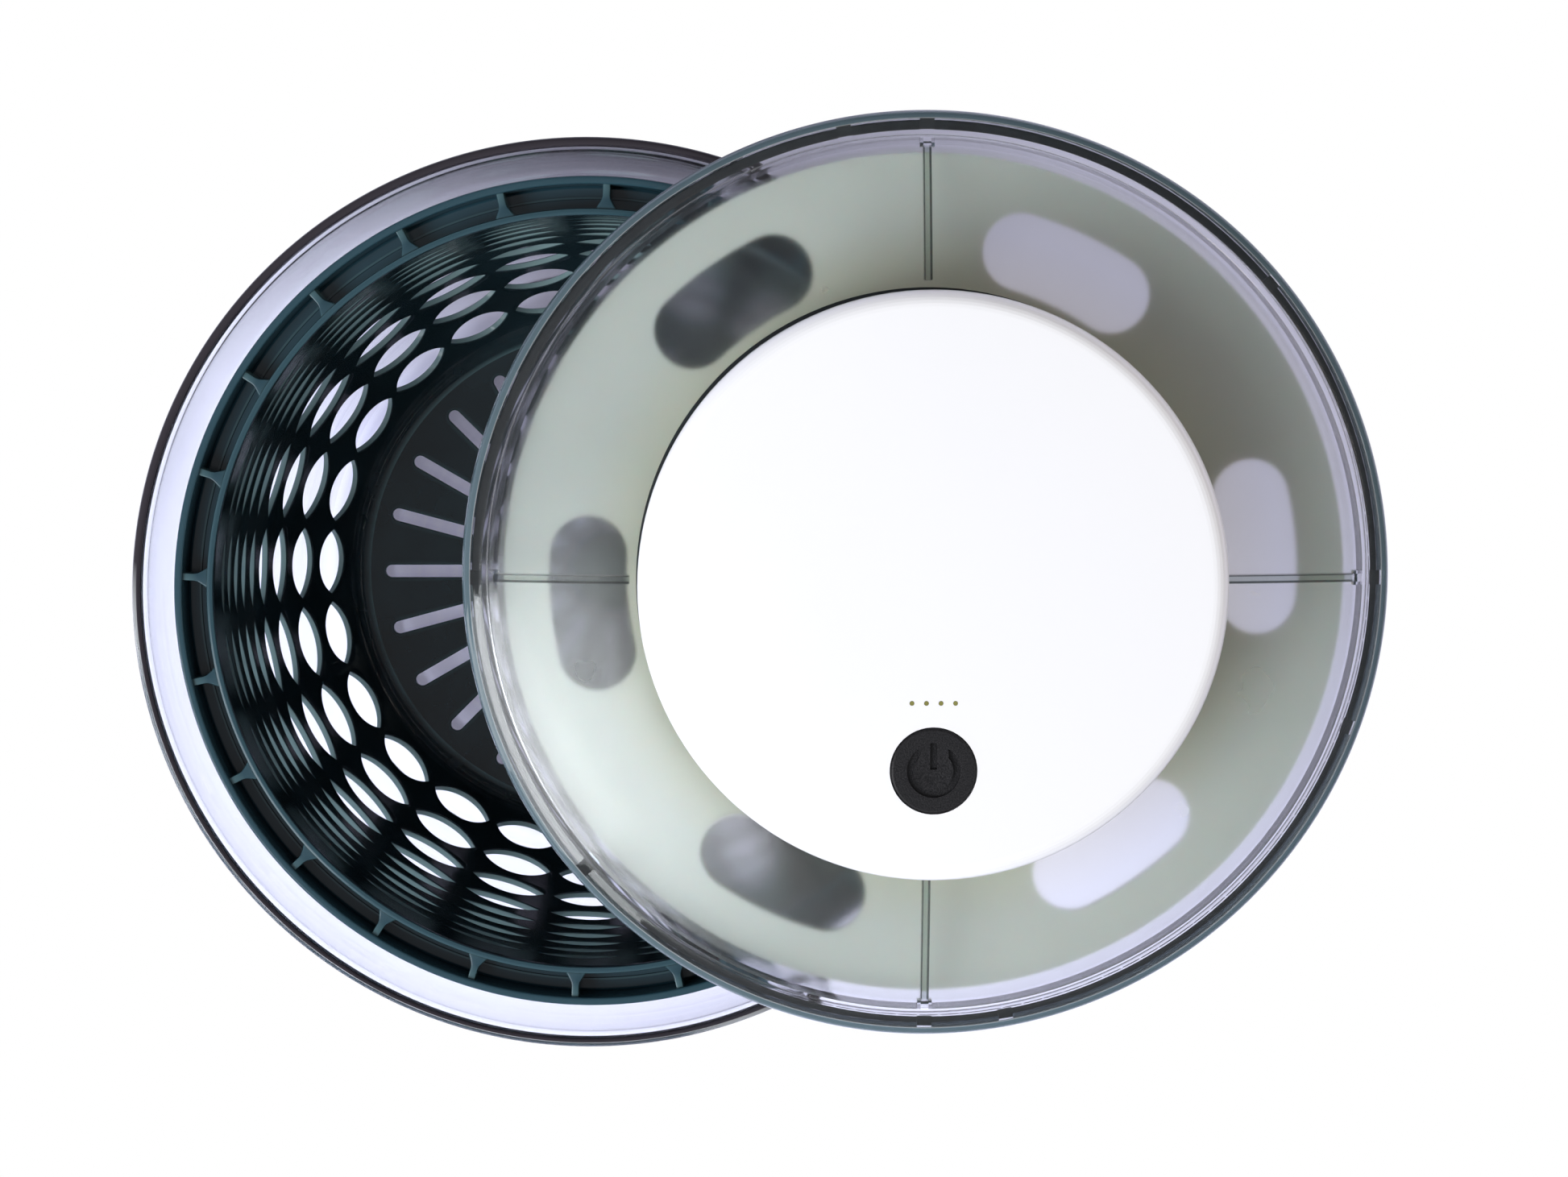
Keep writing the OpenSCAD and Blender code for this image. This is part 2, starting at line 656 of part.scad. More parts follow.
// Motor driver, charge controller and two capacitors under the board.
module board_parts() {
    color([0.08, 0.08, 0.09]) {
        translate([-12, -52, board_z - 1.2]) cube([7, 7, 1.2]);
        translate([4, -50, board_z - 1.2]) cube([6, 5, 1.2]);
        for (x = [-4, 6]) translate([x, -30, 0]) disc(3, board_z - 7, board_z);
        translate([-20, -40, board_z - 5]) cube([8, 5, 5]);
    }
}

module board_screws() {
    color([0.7, 0.71, 0.73]) for (x = [-post_x, post_x], y = [-post_y, post_y])
        translate([x, board_y + y, board_z]) screw_up(1, 6, 1.9, 1);
}

module tactile_switch() {
    color([0.15, 0.15, 0.16]) translate([0, button_y, board_z + board_t]) {
        translate([-3, -3, 0]) cube([6, 6, 2.4]);
        disc(1.7, 2, 3.05);
    }
}

module led_chips() {
    color([0.9, 0.88, 0.7]) for (i = [0 : 3])
        translate([(i - 1.5) * light_pitch - 0.8, lights_y - 0.4, board_z + board_t]) cube([1.6, 0.8, 0.7]);
}

// One clear moulding carries light from the four chips to the top of the housing.
module light_guide() {
    color([0.8, 0.85, 0.6, 0.6]) {
        translate([-8, lights_y - 1.5, board_z + board_t + 1.4]) cube([16, 3, 1.6]);
        for (x = [-7.5, 6.5]) translate([x, lights_y - 1, board_z + board_t]) cube([1, 2, 1.6]);
        for (i = [0 : 3]) translate([(i - 1.5) * light_pitch, lights_y, 0])
            disc(light_r, board_z + board_t + 2, housing_top);
    }
}

module charge_board() {
    color([0.1, 0.38, 0.25]) translate([-9, -74.4, base_top + 4]) cube([18, 18, 1.6]);
}

// The charging socket: a metal shell, open towards the front, with its contact tongue.
module charge_port() {
    color([0.72, 0.73, 0.75]) translate([0, -75, base_top + 5.6]) {
        difference() {
            translate([-port_w / 2, 0, 0]) cube([port_w, 7.3, port_h]);
            translate([-port_w / 2 + 0.4, -1, 0.4]) cube([port_w - 0.8, 6.8, port_h - 0.8]);
        }
        translate([-3.2, 1, port_h / 2 - 0.3]) cube([6.4, 5.5, 0.6]);
    }
}

// A curved flap that shuts the charging socket. It turns on the round bar along its lower edge, and a
// plug on its inside reaches into the housing's wall.
module port_cover() {
    color([0.95, 0.95, 0.95]) {
        intersection() {
            tube(flap_out_r, flap_in_r, flap_z0 + hinge_r, flap_z1);
            translate([-flap_w / 2, -housing_r - 3, 0]) cube([flap_w, 10, housing_top]);
        }
        translate([-flap_w / 2 + 1, -flap_in_r - hinge_r, flap_z0 + hinge_r]) rotate([0, 90, 0])
            cylinder(r = hinge_r, h = flap_w - 2);
        translate([-port_w / 2 + 0.4, -flap_in_r - 0.2, 30.4]) cube([port_w - 0.8, 1.2, 2.4]);
    }
}

// ---------- button ----------

// A round cap with the usual power sign sunk into it, and a flange that keeps it in.
module power_button() {
    top = housing_top + 0.4;
    color([0.05, 0.05, 0.06]) translate([0, button_y, 0]) difference() {
        union() {
            rotate_extrude() polygon([[0, cover_under - 0.9], [button_r + 1.3, cover_under - 0.9],
                [button_r + 1.3, cover_under - 0.1], [button_r, cover_under - 0.1],
                [button_r, top - 0.6], [button_r - 0.6, top], [sign_out_r + 1, top], [0, top - 0.3]]);
            disc(2.5, board_z + board_t + 3.05 + button_travel + 0.1, cover_under);
        }
        difference() {
            tube(sign_out_r, sign_out_r - sign_w, top - sign_depth, top + 1);
            translate([-sign_gap / 2, 0, 0]) cube([sign_gap, sign_out_r + 1, top + 2]);
        }
        translate([-sign_w / 2, 0.4, top - sign_depth]) cube([sign_w, sign_out_r, 3]);
    }
}

// ---------- assembly ----------

bowl();
foot_ring();
basket_rim();
basket_wall();
basket_floor();
place_lid() lid_shell();
place_lid() lid_gasket();
place_lid() housing_seal();
place_lid() housing_base();
place_lid() housing_cover();
place_lid() housing_screws();
place_lid() gearbox_plate();
place_lid() gearbox_screws();
place_lid() lower_bearing();
place_lid() upper_bearing();
place_lid() idler_axle();
place_lid() motor_can();
place_lid() motor_screws();
place_lid() battery_cell_left();
place_lid() battery_cell_right();
place_lid() battery_cradles();
place_lid() circuit_board();
place_lid() board_parts();
place_lid() board_screws();
place_lid() tactile_switch();
place_lid() led_chips();
place_lid() light_guide();
place_lid() charge_board();
place_lid() charge_port();
place_lid() drive_disc();
place_lid() output_shaft();
place_lid() output_gear();
place_lid() disc_screw();
place_lid() idler_gear();
place_lid() motor_shaft();
place_lid() motor_pinion();
place_lid() power_button();
place_lid() port_cover();
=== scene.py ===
"""A cordless salad spinner: clear bowl, dark basket, and a smoked lid lying off-centre across the rim.

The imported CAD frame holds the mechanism. This script gives its pieces their materials, and rebuilds the
moulded shells that are seen close up as finer meshes in the same places. The frame, the camera and the lamps
are in metres. The main sizes and the shells are in millimetres.
"""

import json
import math

import bmesh
import bpy
from mathutils import Matrix, Vector


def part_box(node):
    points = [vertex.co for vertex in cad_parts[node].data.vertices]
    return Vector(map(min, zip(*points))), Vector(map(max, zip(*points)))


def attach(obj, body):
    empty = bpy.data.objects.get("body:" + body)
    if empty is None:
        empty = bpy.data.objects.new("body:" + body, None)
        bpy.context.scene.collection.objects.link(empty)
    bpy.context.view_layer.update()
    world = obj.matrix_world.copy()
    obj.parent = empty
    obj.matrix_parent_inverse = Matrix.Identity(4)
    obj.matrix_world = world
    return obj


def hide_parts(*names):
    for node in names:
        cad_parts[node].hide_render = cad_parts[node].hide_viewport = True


MM = 0.001
TAU = 2 * math.pi

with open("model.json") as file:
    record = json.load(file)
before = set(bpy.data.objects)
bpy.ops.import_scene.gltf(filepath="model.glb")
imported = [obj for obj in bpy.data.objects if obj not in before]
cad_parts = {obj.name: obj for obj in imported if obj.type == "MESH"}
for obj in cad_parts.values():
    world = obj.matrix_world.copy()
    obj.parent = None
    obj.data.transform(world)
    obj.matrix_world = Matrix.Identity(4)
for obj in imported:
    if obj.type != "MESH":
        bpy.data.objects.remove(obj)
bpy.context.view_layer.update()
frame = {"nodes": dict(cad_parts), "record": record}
NODES = frame["nodes"]


# ---------- places, from the frame ----------

def middle(node):
    low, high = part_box(node)
    return (low + high) / 2


BOWL_LOW, BOWL_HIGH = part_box("bowl")
BASKET_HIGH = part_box("basket_rim")[1]
LID_LOW, LID_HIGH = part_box("lid_shell")
HOUSING_TOP = 52.5 * MM  # height of the housing's top above the lower edge of the lid's outer wall
LID = middle("housing_cover")
LID.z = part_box("housing_cover")[1].z - HOUSING_TOP


# ---------- main sizes, in millimetres ----------

BOWL_R = BOWL_HIGH.x / MM
BOWL_H = BOWL_HIGH.z / MM

BASKET_R = BASKET_HIGH.x / MM
BASKET_H = BASKET_HIGH.z / MM
CHANNEL_OUT_R = BASKET_R - 2.3
WALL_TOP_R = CHANNEL_OUT_R - 6.8
WALL_TOP_Z = BASKET_H - 0.5
CHANNEL_Z = BASKET_H - 11
FLOOR_Z, FLOOR_T = 14, 2.2
WALL_T = 2
WALL_DROP, WALL_BEND = 28, 2.6  # how far the wall comes in towards its foot, and how late
EDGE = 0.28  # width of the softened edge round a slot

LID_R = (LID_HIGH.x - LID_LOW.x) / 2 / MM
LID_IN_R = LID_R - 2.6  # inside of the lid's outer wall
LID_TOP_H, LID_EDGE_H = 22.2, 12  # heights of the panel's middle and of its edge
PANEL_FLAT_R, PANEL_BEND = 80, 1.25
LID_WALL = 2.2
RIB_W, RIB_DEPTH = 2.2, 4
SKIRT_IN_R, SKIRT_OUT_R, SKIRT_DROP = 119.6, 121.8, 12


# ---------- camera, light and floor ----------

CAMERA_PLACE = (0.0508, 0.0608, 0.9585)
CAMERA_PITCH, CAMERA_ROLL = math.radians(-4.035), math.radians(-0.305)
CAMERA_LENS = 67.5

# name: place, size, watts, colour, the point it faces, and whether its mirror image shows. The key lamp's
# image would hide the frosted panel, so a weaker sheen stands in for it.
LAMPS = {
    "key_softbox": ((-0.75, -0.55, 1.35), (0.9, 0.9), 23.5, (0.95, 1.0, 0.99), (0.05, 0.0, 0.12), False),
    "sheen_softbox": ((-0.95, -0.55, 1.15), (0.7, 0.7), 6.0, (0.93, 0.96, 1.0), (0.05, 0.0, 0.12), True),
    "side_softbox": ((-1.4, -0.5, 0.45), (0.6, 0.9), 7.0, (1.0, 1.0, 1.0), (0.0, 0.0, 0.1), True),
    "right_fill": ((1.3, 0.5, 0.9), (1.0, 0.8), 8.0, (1.0, 0.91, 0.79), (0.1, 0.0, 0.15), False),
}

BRIGHT_WAY = (-0.62, -0.62, 0.25)  # towards the bright side of the surroundings
BRIGHT_END = 0.9
SKY_DARK, SKY_PALE = (0.10, 0.11, 0.13), (0.95, 0.96, 1.0)
SKY_SEEN = (0.9, 0.91, 0.93)
SKY_STRENGTH = 0.55

# SHADE_MIDDLE, SHADE_NEAR, SHADE_FAR, SHADE_LEAST and FLOOR_DARK paint a shadow on the floor behind the bowl.
# It is seen only through the plastics, and the floor's glow fades in it too.
SHADE_MIDDLE = (-0.01, 0.19, 0)  # where the floor is darkest, behind the bowl
SHADE_NEAR, SHADE_FAR, SHADE_LEAST = 0.04, 0.17, 0.03
FLOOR_DARK, FLOOR_PALE = (0.245, 0.24, 0.31), (0.79, 0.80, 0.98)
FLOOR_GLOW, FLOOR_GLOW_COLOUR = 0.24, (0.80, 0.79, 1.0)
FLOOR_REACH = 6


def add_camera():
    """Looks almost straight down from above the middle of the object, as the photographer did."""
    data = bpy.data.cameras.new("camera")
    data.lens = CAMERA_LENS
    data.sensor_width = 36
    data.clip_end = 20
    camera = bpy.data.objects.new("camera", data)
    turn = Matrix.Rotation(CAMERA_ROLL, 4, "Y") @ Matrix.Rotation(CAMERA_PITCH, 4, "X")
    camera.matrix_world = Matrix.Translation(CAMERA_PLACE) @ turn
    bpy.context.scene.collection.objects.link(camera)
    bpy.context.scene.camera = camera


def add_softbox(name, place, size, watts, colour, target, mirrored):
    """A rectangular lamp. It shows in mirror-like surfaces only if mirrored is true."""
    data = bpy.data.lights.new(name, "AREA")
    data.shape = "RECTANGLE"
    data.size, data.size_y = size
    data.energy = watts
    data.color = colour
    light = bpy.data.objects.new(name, data)
    light.location = place
    light.rotation_euler = (Vector(target) - Vector(place)).to_track_quat("-Z", "Y").to_euler()
    light.visible_glossy = mirrored
    bpy.context.scene.collection.objects.link(light)


def add_world():
    """Pale studio surroundings, darker towards the back and the right, where no softbox stands."""
    world = bpy.data.worlds.new("studio")
    bpy.context.scene.world = world
    world.use_nodes = True
    nt = world.node_tree
    nt.nodes.clear()
    out = nt.nodes.new("ShaderNodeOutputWorld")
    back = nt.nodes.new("ShaderNodeBackground")
    coord = nt.nodes.new("ShaderNodeTexCoord")
    side = nt.nodes.new("ShaderNodeVectorMath")
    side.operation = "DOT_PRODUCT"
    side.inputs[1].default_value = BRIGHT_WAY
    ramp = nt.nodes.new("ShaderNodeValToRGB")
    for stop, position, colour in zip(ramp.color_ramp.elements, (0.1, 0.95), (SKY_DARK, SKY_PALE)):
        stop.position = position
        stop.color = (*colour, 1)
    half = nt.nodes.new("ShaderNodeMapRange")
    half.inputs["From Min"].default_value = -BRIGHT_END
    half.inputs["From Max"].default_value = BRIGHT_END
    nt.links.new(coord.outputs["Generated"], side.inputs[0])
    nt.links.new(side.outputs["Value"], half.inputs["Value"])
    nt.links.new(half.outputs["Result"], ramp.inputs["Fac"])
    plain = nt.nodes.new("ShaderNodeBackground")
    plain.inputs["Color"].default_value = (*SKY_SEEN, 1)
    path = nt.nodes.new("ShaderNodeLightPath")
    mix = nt.nodes.new("ShaderNodeMixShader")
    back.inputs["Strength"].default_value = SKY_STRENGTH
    nt.links.new(ramp.outputs["Color"], back.inputs["Color"])
    nt.links.new(path.outputs["Is Camera Ray"], mix.inputs["Fac"])
    nt.links.new(back.outputs["Background"], mix.inputs[1])
    nt.links.new(plain.outputs["Background"], mix.inputs[2])
    nt.links.new(mix.outputs["Shader"], out.inputs["Surface"])


def add_floor():
    """A pale sheet, overexposed to white where the camera sees it directly. Through the clear plastics it
    shows its own faint lavender, the shadows that the lamps cast on it, and a painted shadow behind the bowl,
    where its colour darkens and its glow fades."""
    mesh = bpy.data.meshes.new("floor")
    corners = [(-1, -1), (1, -1), (1, 1), (-1, 1)]
    mesh.from_pydata([(x * FLOOR_REACH, y * FLOOR_REACH, 0) for x, y in corners], [], [(0, 1, 2, 3)])
    floor = bpy.data.objects.new("floor", mesh)
    mat = bpy.data.materials.new("floor_pale")
    mat.use_nodes = True
    nt = mat.node_tree
    sheet = nt.nodes["Principled BSDF"]
    sheet.inputs["Roughness"].default_value = 0.8
    sheet.inputs["Emission Color"].default_value = (*FLOOR_GLOW_COLOUR, 1)
    coord = nt.nodes.new("ShaderNodeTexCoord")
    away = nt.nodes.new("ShaderNodeVectorMath")
    away.operation = "DISTANCE"
    away.inputs[1].default_value = SHADE_MIDDLE
    # Painted shadow: the floor darker and dimmer towards SHADE_MIDDLE.
    shade = nt.nodes.new("ShaderNodeMapRange")
    shade.inputs["From Min"].default_value = SHADE_NEAR
    shade.inputs["From Max"].default_value = SHADE_FAR
    shade.inputs["To Min"].default_value = SHADE_LEAST
    tone = nt.nodes.new("ShaderNodeMix")
    tone.data_type = "RGBA"
    tone.inputs[6].default_value = (*FLOOR_DARK, 1)
    tone.inputs[7].default_value = (*FLOOR_PALE, 1)
    glow = nt.nodes.new("ShaderNodeMath")
    glow.operation = "MULTIPLY"
    glow.inputs[1].default_value = FLOOR_GLOW
    nt.links.new(coord.outputs["Object"], away.inputs[0])
    nt.links.new(away.outputs["Value"], shade.inputs["Value"])
    nt.links.new(shade.outputs["Result"], tone.inputs["Factor"])
    nt.links.new(shade.outputs["Result"], glow.inputs[0])
    nt.links.new(tone.outputs[2], sheet.inputs["Base Color"])
    nt.links.new(glow.outputs["Value"], sheet.inputs["Emission Strength"])
    white = nt.nodes.new("ShaderNodeEmission")
    white.inputs["Color"].default_value = (1, 1, 1, 1)
    path = nt.nodes.new("ShaderNodeLightPath")
    mix = nt.nodes.new("ShaderNodeMixShader")
    nt.links.new(path.outputs["Is Camera Ray"], mix.inputs["Fac"])
    nt.links.new(sheet.outputs["BSDF"], mix.inputs[1])
    nt.links.new(white.outputs["Emission"], mix.inputs[2])
    nt.links.new(mix.outputs["Shader"], nt.nodes["Material Output"].inputs["Surface"])
    mesh.materials.append(mat)
    bpy.context.scene.collection.objects.link(floor)


add_camera()
add_world()
add_floor()
for lamp_name, lamp in LAMPS.items():
    add_softbox(lamp_name, *lamp)


# ---------- node helpers ----------

class Graph:
    """A material's node tree, with short calls for what the materials below share."""

    def __init__(self, name):
        self.mat = bpy.data.materials.new(name)
        self.mat.use_nodes = True
        self.tree = self.mat.node_tree
        self.shader = self.tree.nodes["Principled BSDF"]
        self.output = self.tree.nodes["Material Output"]

    def node(self, kind, **inputs):
        made = self.tree.nodes.new("ShaderNode" + kind)
        for name, value in inputs.items():
            made.inputs[name.replace("_", " ")].default_value = value
        return made

    def link(self, a, b):
        self.tree.links.new(a, b)

    def set(self, **inputs):
        for name, value in inputs.items():
            self.shader.inputs[name.replace("_", " ")].default_value = value

    def place(self):
        return self.node("TexCoord").outputs["Object"]

    def noise(self, scale, detail=3.0, stretch=None):
        made = self.node("TexNoise", Scale=scale, Detail=detail)
        if stretch is None:
            self.link(self.place(), made.inputs["Vector"])
        else:
            mapping = self.node("Mapping", Scale=stretch)
            self.link(self.place(), mapping.inputs["Vector"])
            self.link(mapping.outputs["Vector"], made.inputs["Vector"])
        return made.outputs["Fac"]

    def span(self, value, low, high, to_low, to_high):
        made = self.node("MapRange")
        for socket, number in zip(("From Min", "From Max", "To Min", "To Max"), (low, high, to_low, to_high)):
            made.inputs[socket].default_value = number
        self.link(value, made.inputs["Value"])
        return made.outputs["Result"]

    def maths(self, operation, a, b=None):
        made = self.node("Math")
        made.operation = operation
        for socket, value in zip(made.inputs, (a, b)):
            if value is None:
                continue
            if isinstance(value, (int, float)):
                socket.default_value = value
            else:
                self.link(value, socket)
        return made.outputs["Value"]

    def blend(self, factor, a, b):
        """Colour a where factor is 0 and b where it is 1. Either may be a socket."""
        made = self.node("Mix")
        made.data_type = "RGBA"
        self.link(factor, made.inputs["Factor"])
        for socket, value in ((made.inputs[6], a), (made.inputs[7], b)):
            if isinstance(value, tuple):
                socket.default_value = (*value, 1)
            else:
                self.link(value, socket)
        return made.outputs[2]

    def bump(self, height, strength, distance):
        made = self.node("Bump", Strength=strength, Distance=distance)
        self.link(height, made.inputs["Height"])
        self.link(made.outputs["Normal"], self.shader.inputs["Normal"])

    def above(self, value, low, high):
        """0 up to low and 1 from high on, both in millimetres."""
        return self.span(value, low * MM, high * MM, 0, 1)

    def below(self, value, low, high):
        """1 up to low and 0 from high on, both in millimetres."""
        return self.span(value, low * MM, high * MM, 1, 0)

    def both(self, a, b):
        return self.maths("MULTIPLY", a, b)

    def radius_and_height(self, centre):
        """Distance from a vertical axis through centre, and height."""
        split = self.node("SeparateXYZ")
        self.link(self.place(), split.inputs["Vector"])
        dx = self.maths("SUBTRACT", split.outputs["X"], centre[0])
        dy = self.maths("SUBTRACT", split.outputs["Y"], centre[1])
        squares = self.maths("ADD", self.maths("MULTIPLY", dx, dx), self.maths("MULTIPLY", dy, dy))
        return self.maths("SQRT", squares), split.outputs["Z"]

    def lets_lamps_through(self, tint):
        """Shadow rays pass this surface as a tint, so that lamps light what is behind it."""
        clear = self.node("BsdfTransparent")
        clear.inputs["Color"].default_value = (*tint, 1)
        mix = self.node("MixShader")
        path = self.node("LightPath")
        source = self.output.inputs["Surface"].links[0].from_socket
        self.link(path.outputs["Is Shadow Ray"], mix.inputs["Fac"])
        self.link(source, mix.inputs[1])
        self.link(clear.outputs["BSDF"], mix.inputs[2])
        self.link(mix.outputs["Shader"], self.output.inputs["Surface"])


# ---------- materials ----------

TO_THE_LAMPS = (-0.55, -0.83, 0)  # from the bowl's middle towards the side that the lamps light


def clear_plastic():
    """The bowl: polished and colourless, with fine flow lines round it. Light that enters the thick bead
    round its rim leaves it sideways, and the top of the bead is painted black for it, a painted shade: all
    over, or as one line on the side that faces the lamps."""
    g = Graph("clear_plastic")
    radius, height = g.radius_and_height((0, 0))
    # Where the top of the bowl's bead is painted black: painted shade.
    painted_crest_mask = g.both(g.above(radius, BOWL_R - 3, BOWL_R - 2.85), g.above(height, BOWL_H - 3.6, BOWL_H - 2.8))
    lit_side = g.node("VectorMath")
    lit_side.operation = "DOT_PRODUCT"
    lit_side.inputs[1].default_value = TO_THE_LAMPS
    g.link(g.place(), lit_side.inputs[0])
    outer = g.both(g.above(radius, BOWL_R - 1.4, BOWL_R - 1.2), g.above(lit_side.outputs["Value"], 62, 90))
    rim = g.both(painted_crest_mask, g.maths("SUBTRACT", 1.0, outer))
    along = g.node("CombineXYZ")
    g.link(radius, along.inputs["X"])
    g.link(height, along.inputs["Z"])
    lines = g.node("TexNoise", Scale=420.0, Detail=3.0)
    g.link(along.outputs["Vector"], lines.inputs["Vector"])
    streak = g.both(g.span(lines.outputs["Fac"], 0.42, 0.72, 0, 1), g.span(g.noise(9, 2), 0.35, 0.65, 0, 1))
    clear = g.blend(streak, (0.93, 0.93, 0.955), (0.80, 0.79, 0.86))
    # Where the mask is 1 the bead is painted opaque black, a painted shade rather than a dye in the plastic.
    g.link(g.blend(rim, clear, (0.022, 0.018, 0.024)), g.shader.inputs["Base Color"])
    g.link(g.span(rim, 0, 1, 1, 0), g.shader.inputs["Transmission Weight"])
    g.link(g.span(g.noise(18, 4, (1, 1, 0.2)), 0.3, 0.7, 0.02, 0.07), g.shader.inputs["Roughness"])
    g.set(IOR=1.49)
    g.bump(g.noise(26, 2, (1, 1, 0.15)), 0.05, 0.001)
    g.lets_lamps_through((0.90, 0.90, 0.93))
    return g.mat


def petrol_plastic():
    """The basket: dark glossy plastic. Painted light makes it paler along its rim and channel, and a painted
    highlight runs wherever an edge is thin. The slots' sides are the palest, a painted highlight for the
    light from the bowl that passes through them."""
    g = Graph("dark_plastic")
    geometry = g.node("NewGeometry")
    # Painted highlight along thin edges, found by pointiness.
    edge = g.span(geometry.outputs["Pointiness"], 0.53, 0.62, 0, 1)
    radius, height = g.radius_and_height((0, 0))
    cloud = g.span(g.noise(35, 5), 0.35, 0.7, 0, 1)
    body = g.blend(cloud, (0.004, 0.009, 0.012), (0.008, 0.017, 0.022))

    # Painted light: the channel and the top of the rim are painted paler than the rest of the basket.
    channel = g.both(g.above(radius, WALL_TOP_R, WALL_TOP_R + 0.3),
                     g.above(height, CHANNEL_Z - 0.4, CHANNEL_Z - 0.1))
    body = g.blend(channel, body, (0.016, 0.040, 0.056))
    body = g.blend(g.above(height, BASKET_H - 2.2, BASKET_H - 0.6), body, (0.020, 0.050, 0.068))

    drop = g.below(height, FLOOR_Z, WALL_TOP_Z)
    inward = g.maths("MULTIPLY", g.maths("POWER", drop, WALL_BEND), WALL_DROP * MM)
    depth = g.maths("SUBTRACT", g.maths("SUBTRACT", WALL_TOP_R * MM, inward), radius)
    within_wall = g.both(g.above(depth, 0.7 * EDGE, 1.2 * EDGE),
                         g.below(depth, WALL_T - 1.2 * EDGE, WALL_T - 0.7 * EDGE))
    # Painted highlight: the slots' sides are painted pale, down to just under the channel.
    painted_slot_highlight = g.both(within_wall, g.below(height, CHANNEL_Z - 3, CHANNEL_Z - 2.5))
    body = g.blend(painted_slot_highlight, body, (0.15, 0.215, 0.225))

    g.link(g.blend(edge, body, (0.06, 0.115, 0.13)), g.shader.inputs["Base Color"])
    g.link(g.span(g.noise(60, 4), 0.3, 0.7, 0.08, 0.16), g.shader.inputs["Roughness"])
    g.set(IOR=1.45)
    g.bump(g.noise(420, 3), 0.015, 0.0005)
    return g.mat


def smoked_plastic():
    """The lid: smoked, polished outside and along its edge, frosted under the panel and a little dull on the
    skirt. Its outer wall is slate blue and only partly clear. Its four ribs are painted darker, and near
    black along
    both sides: painted shade where no light gets through."""
    g = Graph("smoked_plastic")
    radius, height = g.radius_and_height((LID.x, LID.y))
    reach = g.maths("MAXIMUM", g.maths("SUBTRACT", radius, PANEL_FLAT_R * MM), 0.0)
    out = g.maths("DIVIDE", reach, (LID_IN_R - PANEL_FLAT_R) * MM)
    fall = g.maths("MULTIPLY", g.maths("POWER", out, PANEL_BEND), (LID_TOP_H - LID_EDGE_H) * MM)
    depth = g.maths("SUBTRACT", g.maths("SUBTRACT", LID.z + LID_TOP_H * MM, fall), height)
    inside = g.below(radius, SKIRT_IN_R - 3, SKIRT_IN_R - 1.8)
    under = g.both(g.above(depth, 0.5 * LID_WALL, 0.7 * LID_WALL), inside)

    split = g.node("SeparateXYZ")
    g.link(g.place(), split.inputs["Vector"])
    across_x = g.maths("ABSOLUTE", g.maths("SUBTRACT", split.outputs["X"], LID.x))
    across_y = g.maths("ABSOLUTE", g.maths("SUBTRACT", split.outputs["Y"], LID.y))
    across = g.maths("MINIMUM", across_x, across_y)
    below_panel = g.both(g.above(depth, 1.15 * LID_WALL, 1.3 * LID_WALL), inside)
    # Painted shade: the ribs are painted darker, and their sides near black.
    rib = g.both(below_panel, g.below(across, RIB_W / 2 + 0.1, RIB_W / 2 + 0.2))
    painted_rib_shade = g.both(rib, g.above(across, RIB_W / 4, RIB_W / 4 + 0.15))

    skirt = g.both(g.above(radius, SKIRT_IN_R - 1.8, SKIRT_IN_R - 1),
                   g.below(radius, SKIRT_OUT_R + 0.4, SKIRT_OUT_R + 1))
    dull = g.maths("MULTIPLY", g.maths("ADD", inside, skirt), 0.09)
    polish = g.maths("ADD", g.span(g.noise(40, 3), 0.3, 0.7, 0.02, 0.04), dull)
    frost = g.both(under, g.span(g.noise(30, 2), 0.3, 0.7, 0.12, 0.15))
    g.link(g.maths("ADD", frost, polish), g.shader.inputs["Roughness"])

    wall = g.above(radius, LID_IN_R - 0.3, LID_IN_R + 0.1)
    warm = g.below(radius, PANEL_FLAT_R - 1, PANEL_FLAT_R + 16)
    tint = g.blend(warm, (0.73, 0.735, 0.745), (0.735, 0.715, 0.65))
    tint = g.blend(inside, (0.86, 0.86, 0.89), tint)
    tint = g.blend(wall, tint, (0.10, 0.145, 0.172))
    tint = g.blend(rib, tint, (0.30, 0.34, 0.31))
    g.link(g.blend(painted_rib_shade, tint, (0.010, 0.014, 0.014)), g.shader.inputs["Base Color"])
    g.link(g.span(wall, 0, 1, 1, 0.4), g.shader.inputs["Transmission Weight"])
    g.set(IOR=1.45)
    g.lets_lamps_through((0.74, 0.76, 0.76))
    return g.mat


def milky_plastic():
    """The drive disc: milky and slightly cloudy, with a fine grain."""
    g = Graph("milky_plastic")
    cloud = g.span(g.noise(14, 3), 0.3, 0.7, 0, 1)
    g.link(g.blend(cloud, (0.485, 0.515, 0.475), (0.535, 0.565, 0.525)), g.shader.inputs["Base Color"])
    g.link(g.span(g.noise(120, 3), 0.3, 0.7, 0.35, 0.5), g.shader.inputs["Roughness"])
    g.set(Subsurface_Weight=0.15, Subsurface_Scale=0.004)
    g.bump(g.noise(600, 2), 0.06, 0.0004)
    return g.mat


def white_plastic():
    """Glossy white moulding with a trace of orange peel and a faintly yellower, duller wear."""
    g = Graph("white_plastic")
    wear = g.span(g.noise(9, 5), 0.45, 0.75, 0, 1)
    g.link(g.blend(wear, (0.765, 0.752, 0.787), (0.75, 0.738, 0.767)), g.shader.inputs["Base Color"])
    g.link(g.span(g.noise(70, 4), 0.3, 0.7, 0.12, 0.22), g.shader.inputs["Roughness"])
    g.set(IOR=1.5, Coat_Weight=0.3, Coat_Roughness=0.05)
    g.bump(g.noise(300, 2), 0.02, 0.0004)
    return g.mat


